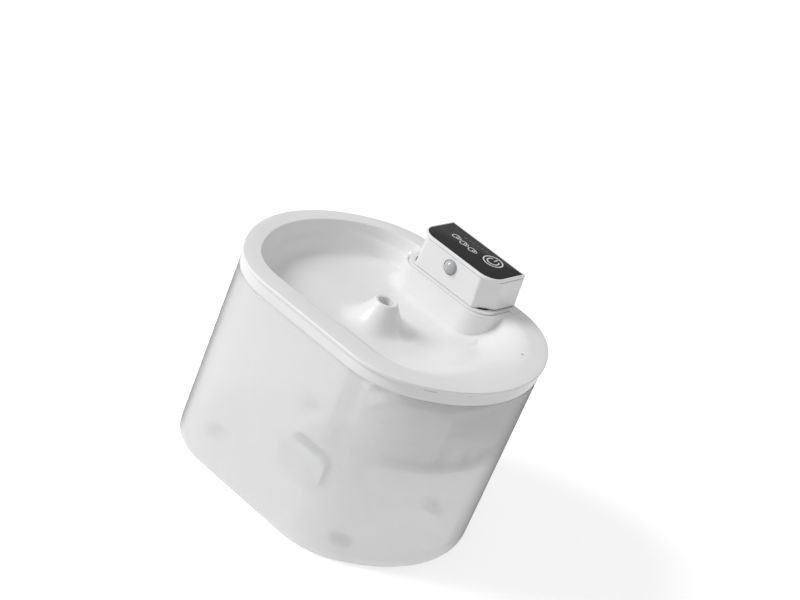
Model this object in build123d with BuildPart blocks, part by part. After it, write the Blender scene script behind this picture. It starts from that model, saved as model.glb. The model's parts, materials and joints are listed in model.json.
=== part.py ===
from build123d import *
from math import atan2, cos, degrees, radians, sin, sqrt
import os

# Cordless pet water fountain. Millimetres, +Z up, origin under the middle of the tank on the
# surface it stands on. X runs along the tank, and -Y is the side with the motion sensor.

# ---------------------------------------------------------------- driving dimensions
# Tank: an oval with straight long sides
tank_length = 197.0
tank_width = 164.4
tank_height = 123.0
tank_corner_radius = 50.0
tank_end_radius = 98.0
tank_wall = 2.2
tank_floor = 2.6
tank_draft = 1.2
tank_base_fillet = 2.5
tank_inner_fillet = 1.5
foot_diameter = 14.0
foot_proud = 1.0
foot_recess = 0.8
foot_chamfer = 0.5
foot_x = 58.0
foot_y = 46.0

# Dish: the tray that pets drink from
lip_overhang = 1.1
lip_thickness = 2.2
lip_edge_fillet = 0.7
band_height = 8.0
band_recess = 1.3
skirt_depth = 6.0
skirt_thickness = 1.6
skirt_clearance = 0.5
skirt_end_x = 74.0  # the skirt stops here, over the filter cartridge
rim_end_width = 10.6
rim_side_width = 15.4
basin_corner_radius = 38.0
basin_end_radius = 86.0
basin_depth = 18.0
basin_wall = 2.0
basin_edge_inset = 1.0
basin_left_run = 12.5
basin_side_run = 7.0
basin_soft_run = 30.0
basin_soft_shift = 15.5
basin_ramp_run = 51.0
basin_ramp_sag = 5.0
basin_ramp_half_width = 33.0
seam_slot_height = 1.0
seam_slot_depth = 0.8
seam_slots = ((35.2, 8.0), (19.5, 3.0))
dish_drain_diameter = 2.4
dish_drain_inset = 25.6
dish_drain_y = 40.0
overflow_width = 6.0
overflow_height = 5.0
overflow_above_floor = 6.0
overflow_reach = 5.0
locating_boss_length = 33.0
locating_boss_bulge = 7.5
locating_boss_drop = 13.5
locating_boss_from_end = 55.8
locating_boss_y = 33.5

# Spout: the hollow cone that the water rises through
spout_y = -9.6
spout_bore = 10.0
spout_top_diameter = 14.8
spout_foot_diameter = 54.0
spout_below_rim = 1.0
spout_wall = 2.0
spout_top_direction = (0.25, -1)
spout_foot_direction = (1, -0.05)
socket_drop = 4.0
socket_wall = 1.8
socket_clearance = 0.3

# Collar: the D-shaped well that the head drops into
collar_half_width = 35.6
collar_back_inset = 2.7
collar_depth = 39.2
collar_corner_radius = 14.0
collar_wall = 1.8
collar_ledge_width = 1.6
collar_ledge_thickness = 1.6
collar_ledge_length = 36.0

# Head: controls, sensor and the tower with the battery
head_clearance = 0.4
head_height = 22.8
head_half_width = 32.0
head_front_inset = 2.4
head_back_inset = 1.8
head_corner_radius = 12.0
head_wall = 1.8
head_top_fillet = 0.8
panel_border = 1.3
panel_thickness = 1.6
panel_edge_chamfer = 0.2
plate_thickness = 1.3
plate_tab = 3.8
plate_tab_length = 9.0
flange_height = 7.2
flange_wall = 2.0
leg_length = 17.0
leg_width = 8.0
leg_thickness = 1.8
leg_from_back = 20.6
leg_tip_radius = 3.3
leg_hole_diameter = 2.2
tower_half_width = 17.0
tower_back_inset = 4.1
tower_depth = 27.0
tower_corner_radius = 7.0
tower_length = 88.5
tower_wall = 1.8
lens_diameter = 9.8
lens_z = 13.8
lens_proud = 3.6
lens_flange_diameter = 11.0
lens_flange_thickness = 1.0
lens_wall = 1.0
sensor_can_diameter = 8.0
sensor_can_depth = 4.5
sensor_can_fillet = 0.5
sensor_board_size = 11.0
sensor_board_thickness = 1.2
sensor_gap = 0.3
board_thickness = 1.6
board_gap = 3.0
board_half_width = 22.0
board_back_margin = 1.2
spring_diameter = 3.0
spring_spacing = 11.0
spring_count = 4
springs_from_back = 20.6
cell_diameter = 18.4
cell_length = 65.0
cell_edge_fillet = 0.7
cell_clearance = 0.3
cell_holder_floor = 1.5
cell_holder_height = 58.0
cell_holder_clearance = 0.3
coil_inner_diameter = 9.0
coil_outer_diameter = 21.0
coil_thickness = 2.2
ferrite_thickness = 1.4
screw_head_diameter = 4.2
screw_head_height = 1.6
screw_diameter = 2.2
screw_length = 7.0
screw_x = 27.4
screw_front_from_back = 28.1
screw_back_from_back = 6.0
boss_diameter = 5.4
seal_thickness = 1.0
seal_bite = 0.8
port_width = 9.2
port_height = 3.4
port_depth = 7.0
port_wall = 0.5
plug_width = 15.0
plug_height = 9.0
plug_thickness = 1.6
plug_recess = 1.9
plug_gap = 0.3
plug_seat_gap = 0.15
plug_tongue_depth = 1.0
plug_tongue_margin = 0.8

# Pump
pump_half_width = 16.8
pump_bulge = 2.2
pump_height = 22.0
pump_front_y = -20.7
pump_back_y = 23.5
pump_edge_radius = 3.0
pump_cap_depth = 7.6
pump_wall = 1.8
pump_foot_height = 1.4
pump_foot_diameter = 8.0
pump_foot_x = 11.0
pump_foot_margin = 6.0
pump_base_thickness = 1.8
pump_base_margin = 3.0
pump_base_clearance = 0.1
inlet_diameter = 12.0
eye_diameter = 4.2
eye_circle_radius = 5.0
eye_count = 6
nozzle_diameter = 6.6
nozzle_bore = 4.4
nozzle_height = 9.0
nozzle_lead_in = 0.3
inset_plate_thickness = 2.0
inset_plate_margin = 1.2
foam_thickness = 8.2
foam_margin = 0.5
grille_thickness = 2.0
grille_corner_radius = 5.5
grille_columns = 9
grille_column_spacing = 3.5
grille_row_spacing = 3.7
grille_slot_width = 1.7
grille_slot_corner = 0.7
grille_row_heights = (3.0, 1.7, 3.0, 1.7, 3.0)
grille_pin_diameter = 2.4
grille_pin_length = 12.4
grille_pin_x = 13.0
grille_edge_fillet = 0.5
grille_pin_clearance = 0.3
rotor_diameter = 11.0
rotor_length = 14.0
rotor_gap = 0.8
rotor_well_wall = 1.0
well_end_gap = 0.6
shaft_diameter = 2.0
shaft_clearance = 0.06
bush_diameter = 5.0
bush_length = 2.4
impeller_diameter = 15.0
impeller_thickness = 5.0
impeller_blades = 6
impeller_hub_diameter = 6.0
impeller_disc = 1.2
chamber_gap = 0.8
blade_thickness = 1.0
pole_width = 5.0
pole_height = 8.0
yoke_depth = 4.0
yoke_gap = 2.4
coil_half_length = 6.5
coil_build = 3.0
stator_gap = 0.3
pickup_diameter = 17.0
pickup_thickness = 2.0

# Riser tube
tube_diameter = 12.7
tube_bore = 10.4
tube_gap = 0.3
sleeve_bore = 7.0
sleeve_length = 52.0
sleeve_clearance = 0.1

# Filter cartridge
holder_height = 38.0
holder_wall = 1.6
holder_drop = 21.5
holder_half_length = 59.5
holder_end_gap = 5.1
holder_facet_inset = 25.0
holder_facet_end_inset = 7.4
holder_facet_end_y = 37.0
holder_back_inset = 50.2
holder_back_top_inset = 35.4
holder_lobe_low = 9.3
holder_lobe_high = 18.1
holder_shoulder_inset = 40.4
holder_shoulder_high = 25.4
rib_thickness = 1.2
rib_end_inset = 8.9
shelf_thickness = 2.0
shelf_width = 9.0
shelf_reach = 38.5
shelf_sink = 1.6
fence_height = 23.0
fence_start_y = -32.0
fence_end_y = 39.5
fence_inset = 11.4
fence_tabs = ((-19.3, 15.4), (-0.5, 11.0), (16.0, 12.0), (33.5, 12.0))
fence_tab_radius = 4.0
catch_slot_width = 0.9
catch_slot_height = 9.0
catch_slot_cut = 6.4
catch_slots = (5.4, 15.6)
granule_depth = 5.0
granule_wall = 1.0
granule_rim_width = 1.4
granule_rim_thickness = 1.0
granule_below_top = 1.4
granule_half_length = 51.5
granule_end_inset = 5.2
granule_facet_inset = 22.9
granule_facet_end_inset = 10.9
granule_facet_end_y = 34.0
granule_back_inset = 33.2
compartment_width = 27.0
divider_thickness = 1.2
media_clearance = 0.3
media_crown = 1.2
film_thickness = 0.6
film_gap = 0.3
film_half_length = 50.5
film_back_inset = 33.0
film_side_inset = 15.9
film_outer_inset = 7.6
film_corner_radius = 9.0
cut_margin = 1.0
slope_share = 0.6


# ---------------------------------------------------------------- plan outlines
def grown(outline, distance):
    """The same oval, moved outward by a distance."""
    return tuple(size + distance for size in outline)


def oval_centres(outline):
    """Where an oval's end and corner arcs have their centres, and how far an end arc swings.

    The outline is half the length, half the width, the corner radius and the end radius.
    """
    half_length, half_width, corner, end = outline
    end_centre = half_length - end
    corner_y = half_width - corner
    corner_x = end_centre + sqrt((end - corner) ** 2 - corner_y**2)
    swing = degrees(atan2(corner_y, corner_x - end_centre))
    return end_centre, corner_x, corner_y, swing


def draw_oval(outline, mode=Mode.ADD):
    """Draw an oval with straight long sides in the sketch that is being built."""
    half_width, corner, end = outline[1:]
    end_centre, corner_x, corner_y, swing = oval_centres(outline)
    with BuildLine() as oval:
        Line((corner_x, half_width), (-corner_x, half_width))
        Line((-corner_x, -half_width), (corner_x, -half_width))
        CenterArc((corner_x, corner_y), corner, swing, 90 - swing)
        CenterArc((-corner_x, corner_y), corner, 90, 90 - swing)
        CenterArc((-corner_x, -corner_y), corner, 180 + swing, 90 - swing)
        CenterArc((corner_x, -corner_y), corner, 270, 90 - swing)
        CenterArc((end_centre, 0), end, -swing, 2 * swing)
        CenterArc((-end_centre, 0), end, 180 - swing, 2 * swing)
    make_face(oval.edges(), mode=mode)


def draw_d(half_width, front_y, back_y, corner):
    """Draw a D outline: flat at the back, its two front corners rounded."""
    with BuildLine() as d_shape:
        Polyline(
            (-half_width, front_y + corner),
            (-half_width, back_y),
            (half_width, back_y),
            (half_width, front_y + corner),
        )
        Line((-half_width + corner, front_y), (half_width - corner, front_y))
        CenterArc((-half_width + corner, front_y + corner), corner, 180, 90)
        CenterArc((half_width - corner, front_y + corner), corner, 270, 90)
    make_face(d_shape.edges())


def draw_block(x0, x1, y0, y1, corner=0.0, mode=Mode.ADD):
    """Draw a rectangle between two corners, with its own corners rounded if asked."""
    with Locations(((x0 + x1) / 2, (y0 + y1) / 2)):
        if corner > 0:
            RectangleRounded(x1 - x0, y1 - y0, corner, mode=mode)
        else:
            Rectangle(x1 - x0, y1 - y0, mode=mode)


# ---------------------------------------------------------------- levels and shared sizes
tank_rim = (tank_length / 2, tank_width / 2, tank_corner_radius, tank_end_radius)
tank_bottom_z = foot_proud
tank_floor_z = tank_bottom_z + tank_floor
tank_rim_z = tank_bottom_z + tank_height
tank_taper = degrees(atan2(tank_draft, tank_height))
lip_outline = grown(tank_rim, lip_overhang)
band_outline = grown(tank_rim, lip_overhang - band_recess)
skirt_outline = grown(tank_rim, -tank_wall - skirt_clearance)
lip_bottom_z = tank_rim_z + band_height
dish_top_z = lip_bottom_z + lip_thickness
basin_outline = (
    lip_outline[0] - rim_end_width,
    lip_outline[1] - rim_side_width,
    basin_corner_radius,
    basin_end_radius,
)
basin_floor_z = dish_top_z - basin_depth
basin_under_z = basin_floor_z - basin_wall
spout_top_z = dish_top_z - spout_below_rim

collar_back_y = lip_outline[1] - collar_back_inset
collar_front_y = collar_back_y - collar_depth

flange_bottom_z = dish_top_z + plate_thickness - flange_height
flange_top_z = dish_top_z + plate_thickness
flange_half_width = collar_half_width - head_clearance
flange_front_y = collar_front_y + head_clearance
flange_back_y = collar_back_y - head_clearance
flange_corner = collar_corner_radius - head_clearance
head_top_z = flange_top_z + head_height
head_front_y = collar_front_y + head_front_inset
head_back_y = collar_back_y - head_back_inset
leg_y = collar_back_y - leg_from_back
spring_y = collar_back_y - springs_from_back
screw_front_y = collar_back_y - screw_front_from_back
screw_back_y = collar_back_y - screw_back_from_back
tower_back_y = collar_back_y - tower_back_inset
tower_front_y = tower_back_y - tower_depth
tower_bottom_z = flange_bottom_z - tower_length
tower_centre_y = (tower_front_y + tower_back_y) / 2

pump_bottom_z = tank_floor_z + pump_foot_height
pump_top_z = pump_bottom_z + pump_height
pump_middle_z = pump_bottom_z + pump_height / 2
nozzle_top_z = pump_top_z + nozzle_height
seam_y = pump_front_y + pump_cap_depth
inset_front_y = pump_front_y - inset_plate_thickness
foam_front_y = inset_front_y - foam_thickness

tube_bottom_z = pump_top_z + tube_gap
socket_radius = tube_diameter / 2 + socket_clearance
socket_bottom_z = basin_under_z - socket_drop
tube_top_z = basin_floor_z + spout_wall

holder_top_z = dish_top_z - holder_drop
holder_bottom_z = holder_top_z - holder_height
granule_rim_z = holder_top_z - granule_below_top
granule_floor_z = granule_rim_z - granule_depth
film_bottom_z = granule_rim_z + media_crown + film_gap

holder_outer_x = tank_rim[0] - holder_end_gap
holder_facet_x = holder_outer_x - holder_facet_inset
holder_facet_end_x = holder_outer_x - holder_facet_end_inset
holder_back_x = holder_outer_x - holder_back_inset
holder_back_top_x = holder_outer_x - holder_back_top_inset
holder_shoulder_x = holder_outer_x - holder_shoulder_inset
rib_outer_x = holder_outer_x - rib_end_inset
fence_inner_x = holder_outer_x - fence_inset
granule_outer_x = holder_outer_x - granule_end_inset
granule_facet_x = holder_outer_x - granule_facet_inset
granule_facet_end_x = holder_outer_x - granule_facet_end_inset
granule_back_x = holder_outer_x - granule_back_inset
film_back_x = holder_outer_x - film_back_inset
film_side_x = holder_outer_x - film_side_inset
film_outer_x = holder_outer_x - film_outer_inset
locating_boss_x = holder_outer_x - locating_boss_from_end
shelf_start_x = tank_rim[0] - shelf_reach


# ================================================================ tank
with BuildPart() as tank_outer:
    with BuildSketch(Plane.XY.offset(tank_bottom_z)):
        draw_oval(grown(tank_rim, -tank_draft))
    extrude(amount=tank_height, taper=-tank_taper)
    fillet(tank_outer.faces().sort_by(Axis.Z)[0].edges(), tank_base_fillet)

with BuildPart() as tank:
    add(tank_outer.part)
    with BuildSketch(Plane.XY.offset(tank_floor_z)):
        draw_oval(grown(tank_rim, -tank_draft - tank_wall))
    extrude(amount=tank_height, taper=-tank_taper, mode=Mode.SUBTRACT)
    fillet(tank.faces().filter_by(Axis.Z).sort_by(Axis.Z)[-2].edges(), tank_inner_fillet)
    # Crescent shelf in the right-hand end, for the filter holder to stand on
    with BuildSketch(Plane.XY.offset(holder_bottom_z - shelf_thickness)):
        draw_oval(grown(tank_rim, -tank_draft - tank_wall + shelf_sink))
        draw_oval(grown(tank_rim, -tank_draft - tank_wall - shelf_width), Mode.SUBTRACT)
        draw_block(shelf_start_x, tank_length, -tank_width, tank_width, mode=Mode.INTERSECT)
    extrude(amount=shelf_thickness)
    with BuildSketch(Plane.XY.offset(tank_bottom_z)):
        with GridLocations(2 * foot_x, 2 * foot_y, 2, 2):
            Circle(foot_diameter / 2)
    extrude(amount=foot_recess, mode=Mode.SUBTRACT)

with BuildPart() as tank_feet:
    with BuildSketch(Plane.XY):
        with GridLocations(2 * foot_x, 2 * foot_y, 2, 2):
            Circle(foot_diameter / 2)
    extrude(amount=foot_proud + foot_recess)
    chamfer(tank_feet.faces().group_by(Axis.Z)[0].edges(), foot_chamfer)


# ================================================================ dish
def draw_basin_floor(grow):
    """Draw the basin's floor, with one edge for each edge of the rim's oval.

    Its left half keeps close to the rim. Its right half leaves room for long slopes.
    """
    half_length, half_width, corner, end = basin_outline
    end_centre, corner_x, corner_y, swing = oval_centres(basin_outline)
    left_end = end - basin_left_run + grow
    left_x = -end_centre - left_end * cos(radians(swing))
    left_y = left_end * sin(radians(swing))
    side_y = half_width - basin_side_run + grow
    bend_radius = corner - (basin_left_run + basin_side_run) / 2 + grow
    bend_turn = radians((swing + 90) / 2)
    bend_x = -corner_x - bend_radius * cos(bend_turn)
    bend_y = corner_y + bend_radius * sin(bend_turn)
    soft_x = corner_x - basin_soft_shift + grow
    soft_y = half_width - basin_soft_run + grow
    ramp_x = half_length - basin_ramp_run + grow
    ramp_side_x = ramp_x - basin_ramp_sag
    ramp_y = basin_ramp_half_width + grow
    with BuildLine() as floor_outline:
        ThreePointArc((ramp_side_x, -ramp_y), (ramp_x, 0), (ramp_side_x, ramp_y))
        Polyline((ramp_side_x, ramp_y), (soft_x, soft_y), (-corner_x, side_y))
        ThreePointArc((-corner_x, side_y), (bend_x, bend_y), (left_x, left_y))
        ThreePointArc((left_x, left_y), (-end_centre - left_end, 0), (left_x, -left_y))
        ThreePointArc((left_x, -left_y), (bend_x, -bend_y), (-corner_x, -side_y))
        Polyline((-corner_x, -side_y), (soft_x, -soft_y), (ramp_side_x, -ramp_y))
    make_face(floor_outline.edges())


def basin_form(grow, depth, top_z):
    """The basin as a solid: steep at the left, with long slopes at the right and right front."""
    with BuildPart() as form:
        with BuildSketch(Plane.XY.offset(top_z - depth)):
            draw_basin_floor(grow)
        with BuildSketch(Plane.XY.offset(top_z)):
            draw_oval(grown(basin_outline, grow - basin_edge_inset))
        loft(ruled=True)
    return form.part


def spout_form(shrink, top_z, foot_z):
    """The volcano-shaped cone of the spout, or the hollow under it."""
    top_radius = spout_top_diameter / 2 - shrink
    foot_radius = spout_foot_diameter / 2 - shrink
    with BuildPart() as form:
        with BuildSketch(Plane.XZ.offset(-spout_y)):
            with BuildLine():
                Line((0, top_z), (top_radius, top_z))
                Spline(
                    (top_radius, top_z),
                    (foot_radius, foot_z),
                    tangents=(spout_top_direction, spout_foot_direction),
                )
                Polyline((foot_radius, foot_z), (0, foot_z), (0, top_z))
            make_face()
        revolve(axis=Axis((0, spout_y, 0), (0, 0, 1)))
    return form.part


basin_hollow = basin_form(0, basin_depth, dish_top_z)
basin_shell_depth = basin_depth + basin_wall - lip_thickness
basin_shell = basin_form(basin_wall * slope_share, basin_shell_depth, lip_bottom_z)
spout_cone = spout_form(0, spout_top_z, basin_floor_z)
spout_hollow = spout_form(spout_wall, spout_top_z - spout_wall, basin_floor_z - spout_wall)

with BuildPart() as dish:
    with BuildSketch(Plane.XY.offset(lip_bottom_z)):
        draw_oval(lip_outline)
    extrude(amount=lip_thickness)
    fillet(dish.faces().sort_by(Axis.Z)[-1].edges(), lip_edge_fillet)
    with BuildSketch(Plane.XY.offset(tank_rim_z)):
        draw_oval(band_outline)
    extrude(amount=band_height)
    with BuildSketch(Plane.XY.offset(tank_rim_z - skirt_depth)):
        draw_oval(skirt_outline)
    extrude(amount=skirt_depth)
    with BuildSketch(Plane.XY.offset(tank_rim_z - skirt_depth)):
        draw_oval(grown(skirt_outline, -skirt_thickness))
    extrude(amount=skirt_depth + band_height, mode=Mode.SUBTRACT)
    with BuildSketch(Plane.XY.offset(tank_rim_z - skirt_depth)):
        draw_block(skirt_end_x, lip_outline[0], -lip_outline[1], lip_outline[1])
    extrude(amount=skirt_depth, mode=Mode.SUBTRACT)
    add(basin_shell)
    # Half-round bosses that keep the filter holder in its end of the tank
    for side in (-1, 1):
        with BuildSketch(Plane.XY.offset(basin_under_z - locating_boss_drop)):
            with BuildLine():
                end_a = (locating_boss_x, side * locating_boss_y - locating_boss_length / 2)
                end_b = (locating_boss_x, side * locating_boss_y + locating_boss_length / 2)
                Line(end_b, end_a)
                ThreePointArc(
                    end_a, (locating_boss_x + locating_boss_bulge, side * locating_boss_y), end_b
                )
            make_face()
        extrude(amount=locating_boss_drop + basin_depth)
    add(basin_hollow, mode=Mode.SUBTRACT)
    # Spout cone, the stub that its tube plugs into, and the well around the tube
    add(spout_cone)
    add(spout_hollow, mode=Mode.SUBTRACT)
    with BuildSketch(Plane.XY.offset(basin_under_z)):
        with Locations((0, spout_y)):
            Circle(spout_bore / 2 + spout_wall)
    extrude(amount=spout_top_z - basin_under_z - spout_wall / 2)
    with BuildSketch(Plane.XY.offset(socket_bottom_z)):
        with Locations((0, spout_y)):
            Circle(socket_radius + socket_wall)
    extrude(amount=tube_top_z + socket_wall - socket_bottom_z)
    with BuildSketch(Plane.XY.offset(socket_bottom_z)):
        with Locations((0, spout_y)):
            Circle(socket_radius)
    extrude(amount=tube_top_z + socket_clearance - socket_bottom_z, mode=Mode.SUBTRACT)
    with BuildSketch(Plane.XY.offset(socket_bottom_z)):
        with Locations((0, spout_y)):
            Circle(spout_bore / 2)
    extrude(amount=dish_top_z - socket_bottom_z, mode=Mode.SUBTRACT)
    # Collar for the head, open right through, with a ledge that the flange stands on
    for low_z, high_z, wall_back_y in (
        (basin_under_z, tank_rim_z, skirt_outline[1]),
        (tank_rim_z, dish_top_z, band_outline[1]),
    ):
        with BuildSketch(Plane.XY.offset(low_z)):
            draw_d(
                collar_half_width + collar_wall,
                collar_front_y - collar_wall,
                wall_back_y,
                collar_corner_radius + collar_wall,
            )
        extrude(amount=high_z - low_z)
    with BuildSketch(Plane.XY.offset(flange_bottom_z)):
        draw_d(collar_half_width, collar_front_y, collar_back_y, collar_corner_radius)
    extrude(amount=flange_height + cut_margin, mode=Mode.SUBTRACT)
    with BuildSketch(Plane.XY.offset(basin_under_z - cut_margin)):
        draw_d(
            collar_half_width,
            collar_front_y,
            skirt_outline[1] - skirt_thickness,
            collar_corner_radius,
        )
    extrude(amount=flange_bottom_z - basin_under_z + cut_margin, mode=Mode.SUBTRACT)
    with BuildSketch(Plane.XY.offset(flange_bottom_z - collar_ledge_thickness)):
        draw_block(
            -collar_ledge_length / 2,
            collar_ledge_length / 2,
            collar_front_y - collar_wall / 2,
            collar_front_y + collar_ledge_width,
        )
    extrude(amount=collar_ledge_thickness)
    # Overflow through the collar's wall, a bleed hole in the ramp, and slots under the lip
    overflow_back_y = collar_front_y + collar_corner_radius
    with BuildSketch(Plane.XY.offset(basin_floor_z + overflow_above_floor)):
        draw_block(
            -collar_half_width - collar_wall - cut_margin,
            -collar_half_width + overflow_reach,
            overflow_back_y - overflow_width,
            overflow_back_y,
        )
    extrude(amount=overflow_height, mode=Mode.SUBTRACT)
    with BuildSketch(Plane.XY.offset(basin_under_z - cut_margin)):
        with Locations((lip_outline[0] - dish_drain_inset, dish_drain_y)):
            Circle(dish_drain_diameter / 2)
    extrude(amount=dish_top_z - basin_under_z + 2 * cut_margin, mode=Mode.SUBTRACT)
    band_end = band_outline[3]
    for slot_angle, slot_length in seam_slots:
        for angle in (slot_angle, -slot_angle):
            slot_x = band_outline[0] - band_end + band_end * cos(radians(angle))
            slot_y = band_end * sin(radians(angle))
            with BuildSketch(Plane.XY.offset(lip_bottom_z - seam_slot_height)):
                with Locations((slot_x, slot_y)):
                    Rectangle(2 * seam_slot_depth, slot_length, rotation=angle)
            extrude(amount=seam_slot_height, mode=Mode.SUBTRACT)


# ================================================================ head
tower_inner = (
    tower_half_width - tower_wall,
    tower_front_y + tower_wall,
    tower_back_y - tower_wall,
    tower_corner_radius - tower_wall,
)
panel_bottom_z = head_top_z - panel_thickness
head_ceiling_z = panel_bottom_z - head_wall
board_top_z = head_ceiling_z - board_gap
board_bottom_z = board_top_z - board_thickness
port_centre_z = board_bottom_z - port_height / 2
lens_centre_z = flange_top_z + lens_z
plug_bottom_z = port_centre_z - plug_height / 2
plug_hinge_y = head_back_y - plug_recess + plug_seat_gap + plug_thickness / 2
plug_hinge_z = plug_bottom_z + plug_thickness / 2
screw_places = [
    (side * screw_x, place_y) for side in (-1, 1) for place_y in (screw_front_y, screw_back_y)
]

with BuildPart() as head_shell:
    with BuildSketch(Plane.XY.offset(flange_top_z)):
        draw_d(head_half_width, head_front_y, head_back_y, head_corner_radius)
    extrude(amount=head_height)
    fillet(head_shell.faces().sort_by(Axis.Z)[-1].edges(), head_top_fillet)
    with BuildSketch(Plane.XY.offset(flange_top_z)):
        draw_d(
            head_half_width - head_wall,
            head_front_y + head_wall,
            head_back_y - head_wall,
            head_corner_radius - head_wall,
        )
    extrude(amount=head_ceiling_z - flange_top_z, mode=Mode.SUBTRACT)
    with BuildSketch(Plane.XY.offset(flange_top_z + seal_thickness)):
        with Locations(*screw_places):
            Circle(boss_diameter / 2)
    extrude(amount=head_ceiling_z - flange_top_z - seal_thickness)
    with BuildSketch(Plane.XY.offset(flange_top_z)):
        with Locations(*screw_places):
            Circle(screw_diameter / 2)
    extrude(amount=screw_length, mode=Mode.SUBTRACT)
    # Rebate for the seal
    with BuildSketch(Plane.XY.offset(flange_top_z)):
        draw_d(
            head_half_width - head_wall + seal_bite,
            head_front_y + head_wall - seal_bite,
            head_back_y - head_wall + seal_bite,
            head_corner_radius - head_wall + seal_bite,
        )
    extrude(amount=seal_thickness, mode=Mode.SUBTRACT)
    # Recess for the touch panel
    with BuildSketch(Plane.XY.offset(panel_bottom_z)):
        draw_d(
            head_half_width - panel_border,
            head_front_y + panel_border,
            head_back_y - panel_border / 2,
            head_corner_radius - panel_border,
        )
    extrude(amount=panel_thickness, mode=Mode.SUBTRACT)
    # Hole for the sensor lens
    with BuildSketch(Plane.XZ.offset(-head_front_y)):
        with Locations((0, lens_centre_z)):
            Circle(lens_diameter / 2)
    extrude(amount=-head_wall, mode=Mode.SUBTRACT)
    # Charging port opening, and the recess that its plug lies in
    with BuildSketch(Plane.XZ.offset(-head_back_y)):
        with Locations((0, port_centre_z)):
            Rectangle(plug_width + 2 * plug_gap, plug_height + 2 * plug_gap)
    extrude(amount=plug_recess, mode=Mode.SUBTRACT)
    with BuildSketch(Plane.XZ.offset(-head_back_y)):
        with Locations((0, port_centre_z)):
            Rectangle(
                plug_width + 2 * plug_gap + 2 * head_wall, plug_height + 2 * plug_gap + 2 * head_wall
            )
    extrude(amount=plug_recess + head_wall)
    with BuildSketch(Plane.XZ.offset(-head_back_y)):
        with Locations((0, port_centre_z)):
            Rectangle(plug_width + 2 * plug_gap, plug_height + 2 * plug_gap)
    extrude(amount=plug_recess, mode=Mode.SUBTRACT)
    with BuildSketch(Plane.XZ.offset(-head_back_y)):
        with Locations((0, port_centre_z)):
            Rectangle(port_width, port_height)
    extrude(amount=port_depth + plug_recess, mode=Mode.SUBTRACT)

with BuildPart() as touch_panel:
    with BuildSketch(Plane.XY.offset(panel_bottom_z)):
        draw_d(
            head_half_width - panel_border,
            head_front_y + panel_border,
            head_back_y - panel_border / 2,
            head_corner_radius - panel_border,
        )
    extrude(amount=panel_thickness)
    chamfer(touch_panel.faces().sort_by(Axis.Z)[-1].edges(), panel_edge_chamfer)

with BuildPart() as sensor_lens:
    lens_radius = (lens_proud**2 + (lens_diameter / 2) ** 2) / (2 * lens_proud)
    with BuildSketch(Plane.YZ):
        with BuildLine():
            rim_y = head_front_y + head_wall
            Line((head_front_y - lens_proud, lens_centre_z), (rim_y, lens_centre_z))
            Polyline(
                (rim_y, lens_centre_z),
                (rim_y, lens_centre_z + lens_diameter / 2),
                (head_front_y, lens_centre_z + lens_diameter / 2),
            )
            RadiusArc(
                (head_front_y, lens_centre_z + lens_diameter / 2),
                (head_front_y - lens_proud, lens_centre_z),
                -lens_radius,
            )
        make_face()
    revolve(axis=Axis((0, 0, lens_centre_z), (0, 1, 0)))
    with BuildSketch(Plane.XZ.offset(-head_front_y - head_wall)):
        with Locations((0, lens_centre_z)):
            Circle(lens_flange_diameter / 2)
    extrude(amount=-lens_flange_thickness)
    with BuildSketch(Plane.XZ.offset(-head_front_y - head_wall - lens_flange_thickness)):
        with Locations((0, lens_centre_z)):
            Circle(lens_diameter / 2 - lens_wall)
    extrude(amount=lens_flange_thickness + head_wall, mode=Mode.SUBTRACT)

sensor_can_y = head_front_y + head_wall + lens_flange_thickness + sensor_gap
with BuildPart() as motion_sensor:
    with BuildSketch(Plane.XZ.offset(-sensor_can_y)):
        with Locations((0, lens_centre_z)):
            Circle(sensor_can_diameter / 2)
    extrude(amount=-sensor_can_depth)
    fillet(motion_sensor.faces().sort_by(Axis.Y)[0].edges(), sensor_can_fillet)

with BuildPart() as sensor_board:
    with BuildSketch(Plane.XZ.offset(-sensor_can_y - sensor_can_depth)):
        with Locations((0, lens_centre_z)):
            Rectangle(sensor_board_size, sensor_board_size)
    extrude(amount=-sensor_board_thickness)

with BuildPart() as control_board:
    board_front_y = sensor_can_y + sensor_can_depth + sensor_board_thickness
    board_back_y = head_back_y - head_wall - plug_recess - board_back_margin
    with BuildSketch(Plane.XY.offset(board_bottom_z)):
        draw_block(-board_half_width, board_half_width, board_front_y, board_back_y, board_thickness)
    extrude(amount=board_thickness)

with BuildPart() as touch_springs:
    with BuildSketch(Plane.XY.offset(board_top_z)):
        with Locations((0, spring_y)):
            with GridLocations(spring_spacing, spring_spacing, spring_count, 1):
                Circle(spring_diameter / 2)
    extrude(amount=board_gap)

with BuildPart() as charging_port:
    with BuildSketch(Plane.XZ.offset(-head_back_y + plug_recess)):
        with Locations((0, port_centre_z)):
            RectangleRounded(port_width, port_height, port_height / 2 - port_wall)
    extrude(amount=port_depth)
    with BuildSketch(Plane.XZ.offset(-head_back_y + plug_recess)):
        with Locations((0, port_centre_z)):
            RectangleRounded(
                port_width - 2 * port_wall, port_height - 2 * port_wall, port_height / 2 - 2 * port_wall
            )
    extrude(amount=port_depth - port_wall, mode=Mode.SUBTRACT)

with BuildPart() as port_plug:
    plug_face_y = plug_hinge_y + plug_thickness / 2
    with BuildSketch(Plane.XZ.offset(-plug_face_y)):
        draw_block(-plug_width / 2, plug_width / 2, plug_hinge_z, plug_bottom_z + plug_height)
    extrude(amount=plug_thickness)
    with BuildSketch(Plane.YZ.offset(-plug_width / 2)):
        with Locations((plug_hinge_y, plug_hinge_z)):
            Circle(plug_thickness / 2)
    extrude(amount=plug_width)
    with BuildSketch(Plane.XZ.offset(-plug_face_y + plug_thickness)):
        with Locations((0, port_centre_z)):
            Rectangle(
                port_width - 2 * port_wall - 2 * plug_tongue_margin,
                port_height - 2 * port_wall - plug_tongue_margin,
            )
    extrude(amount=plug_tongue_depth)

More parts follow.
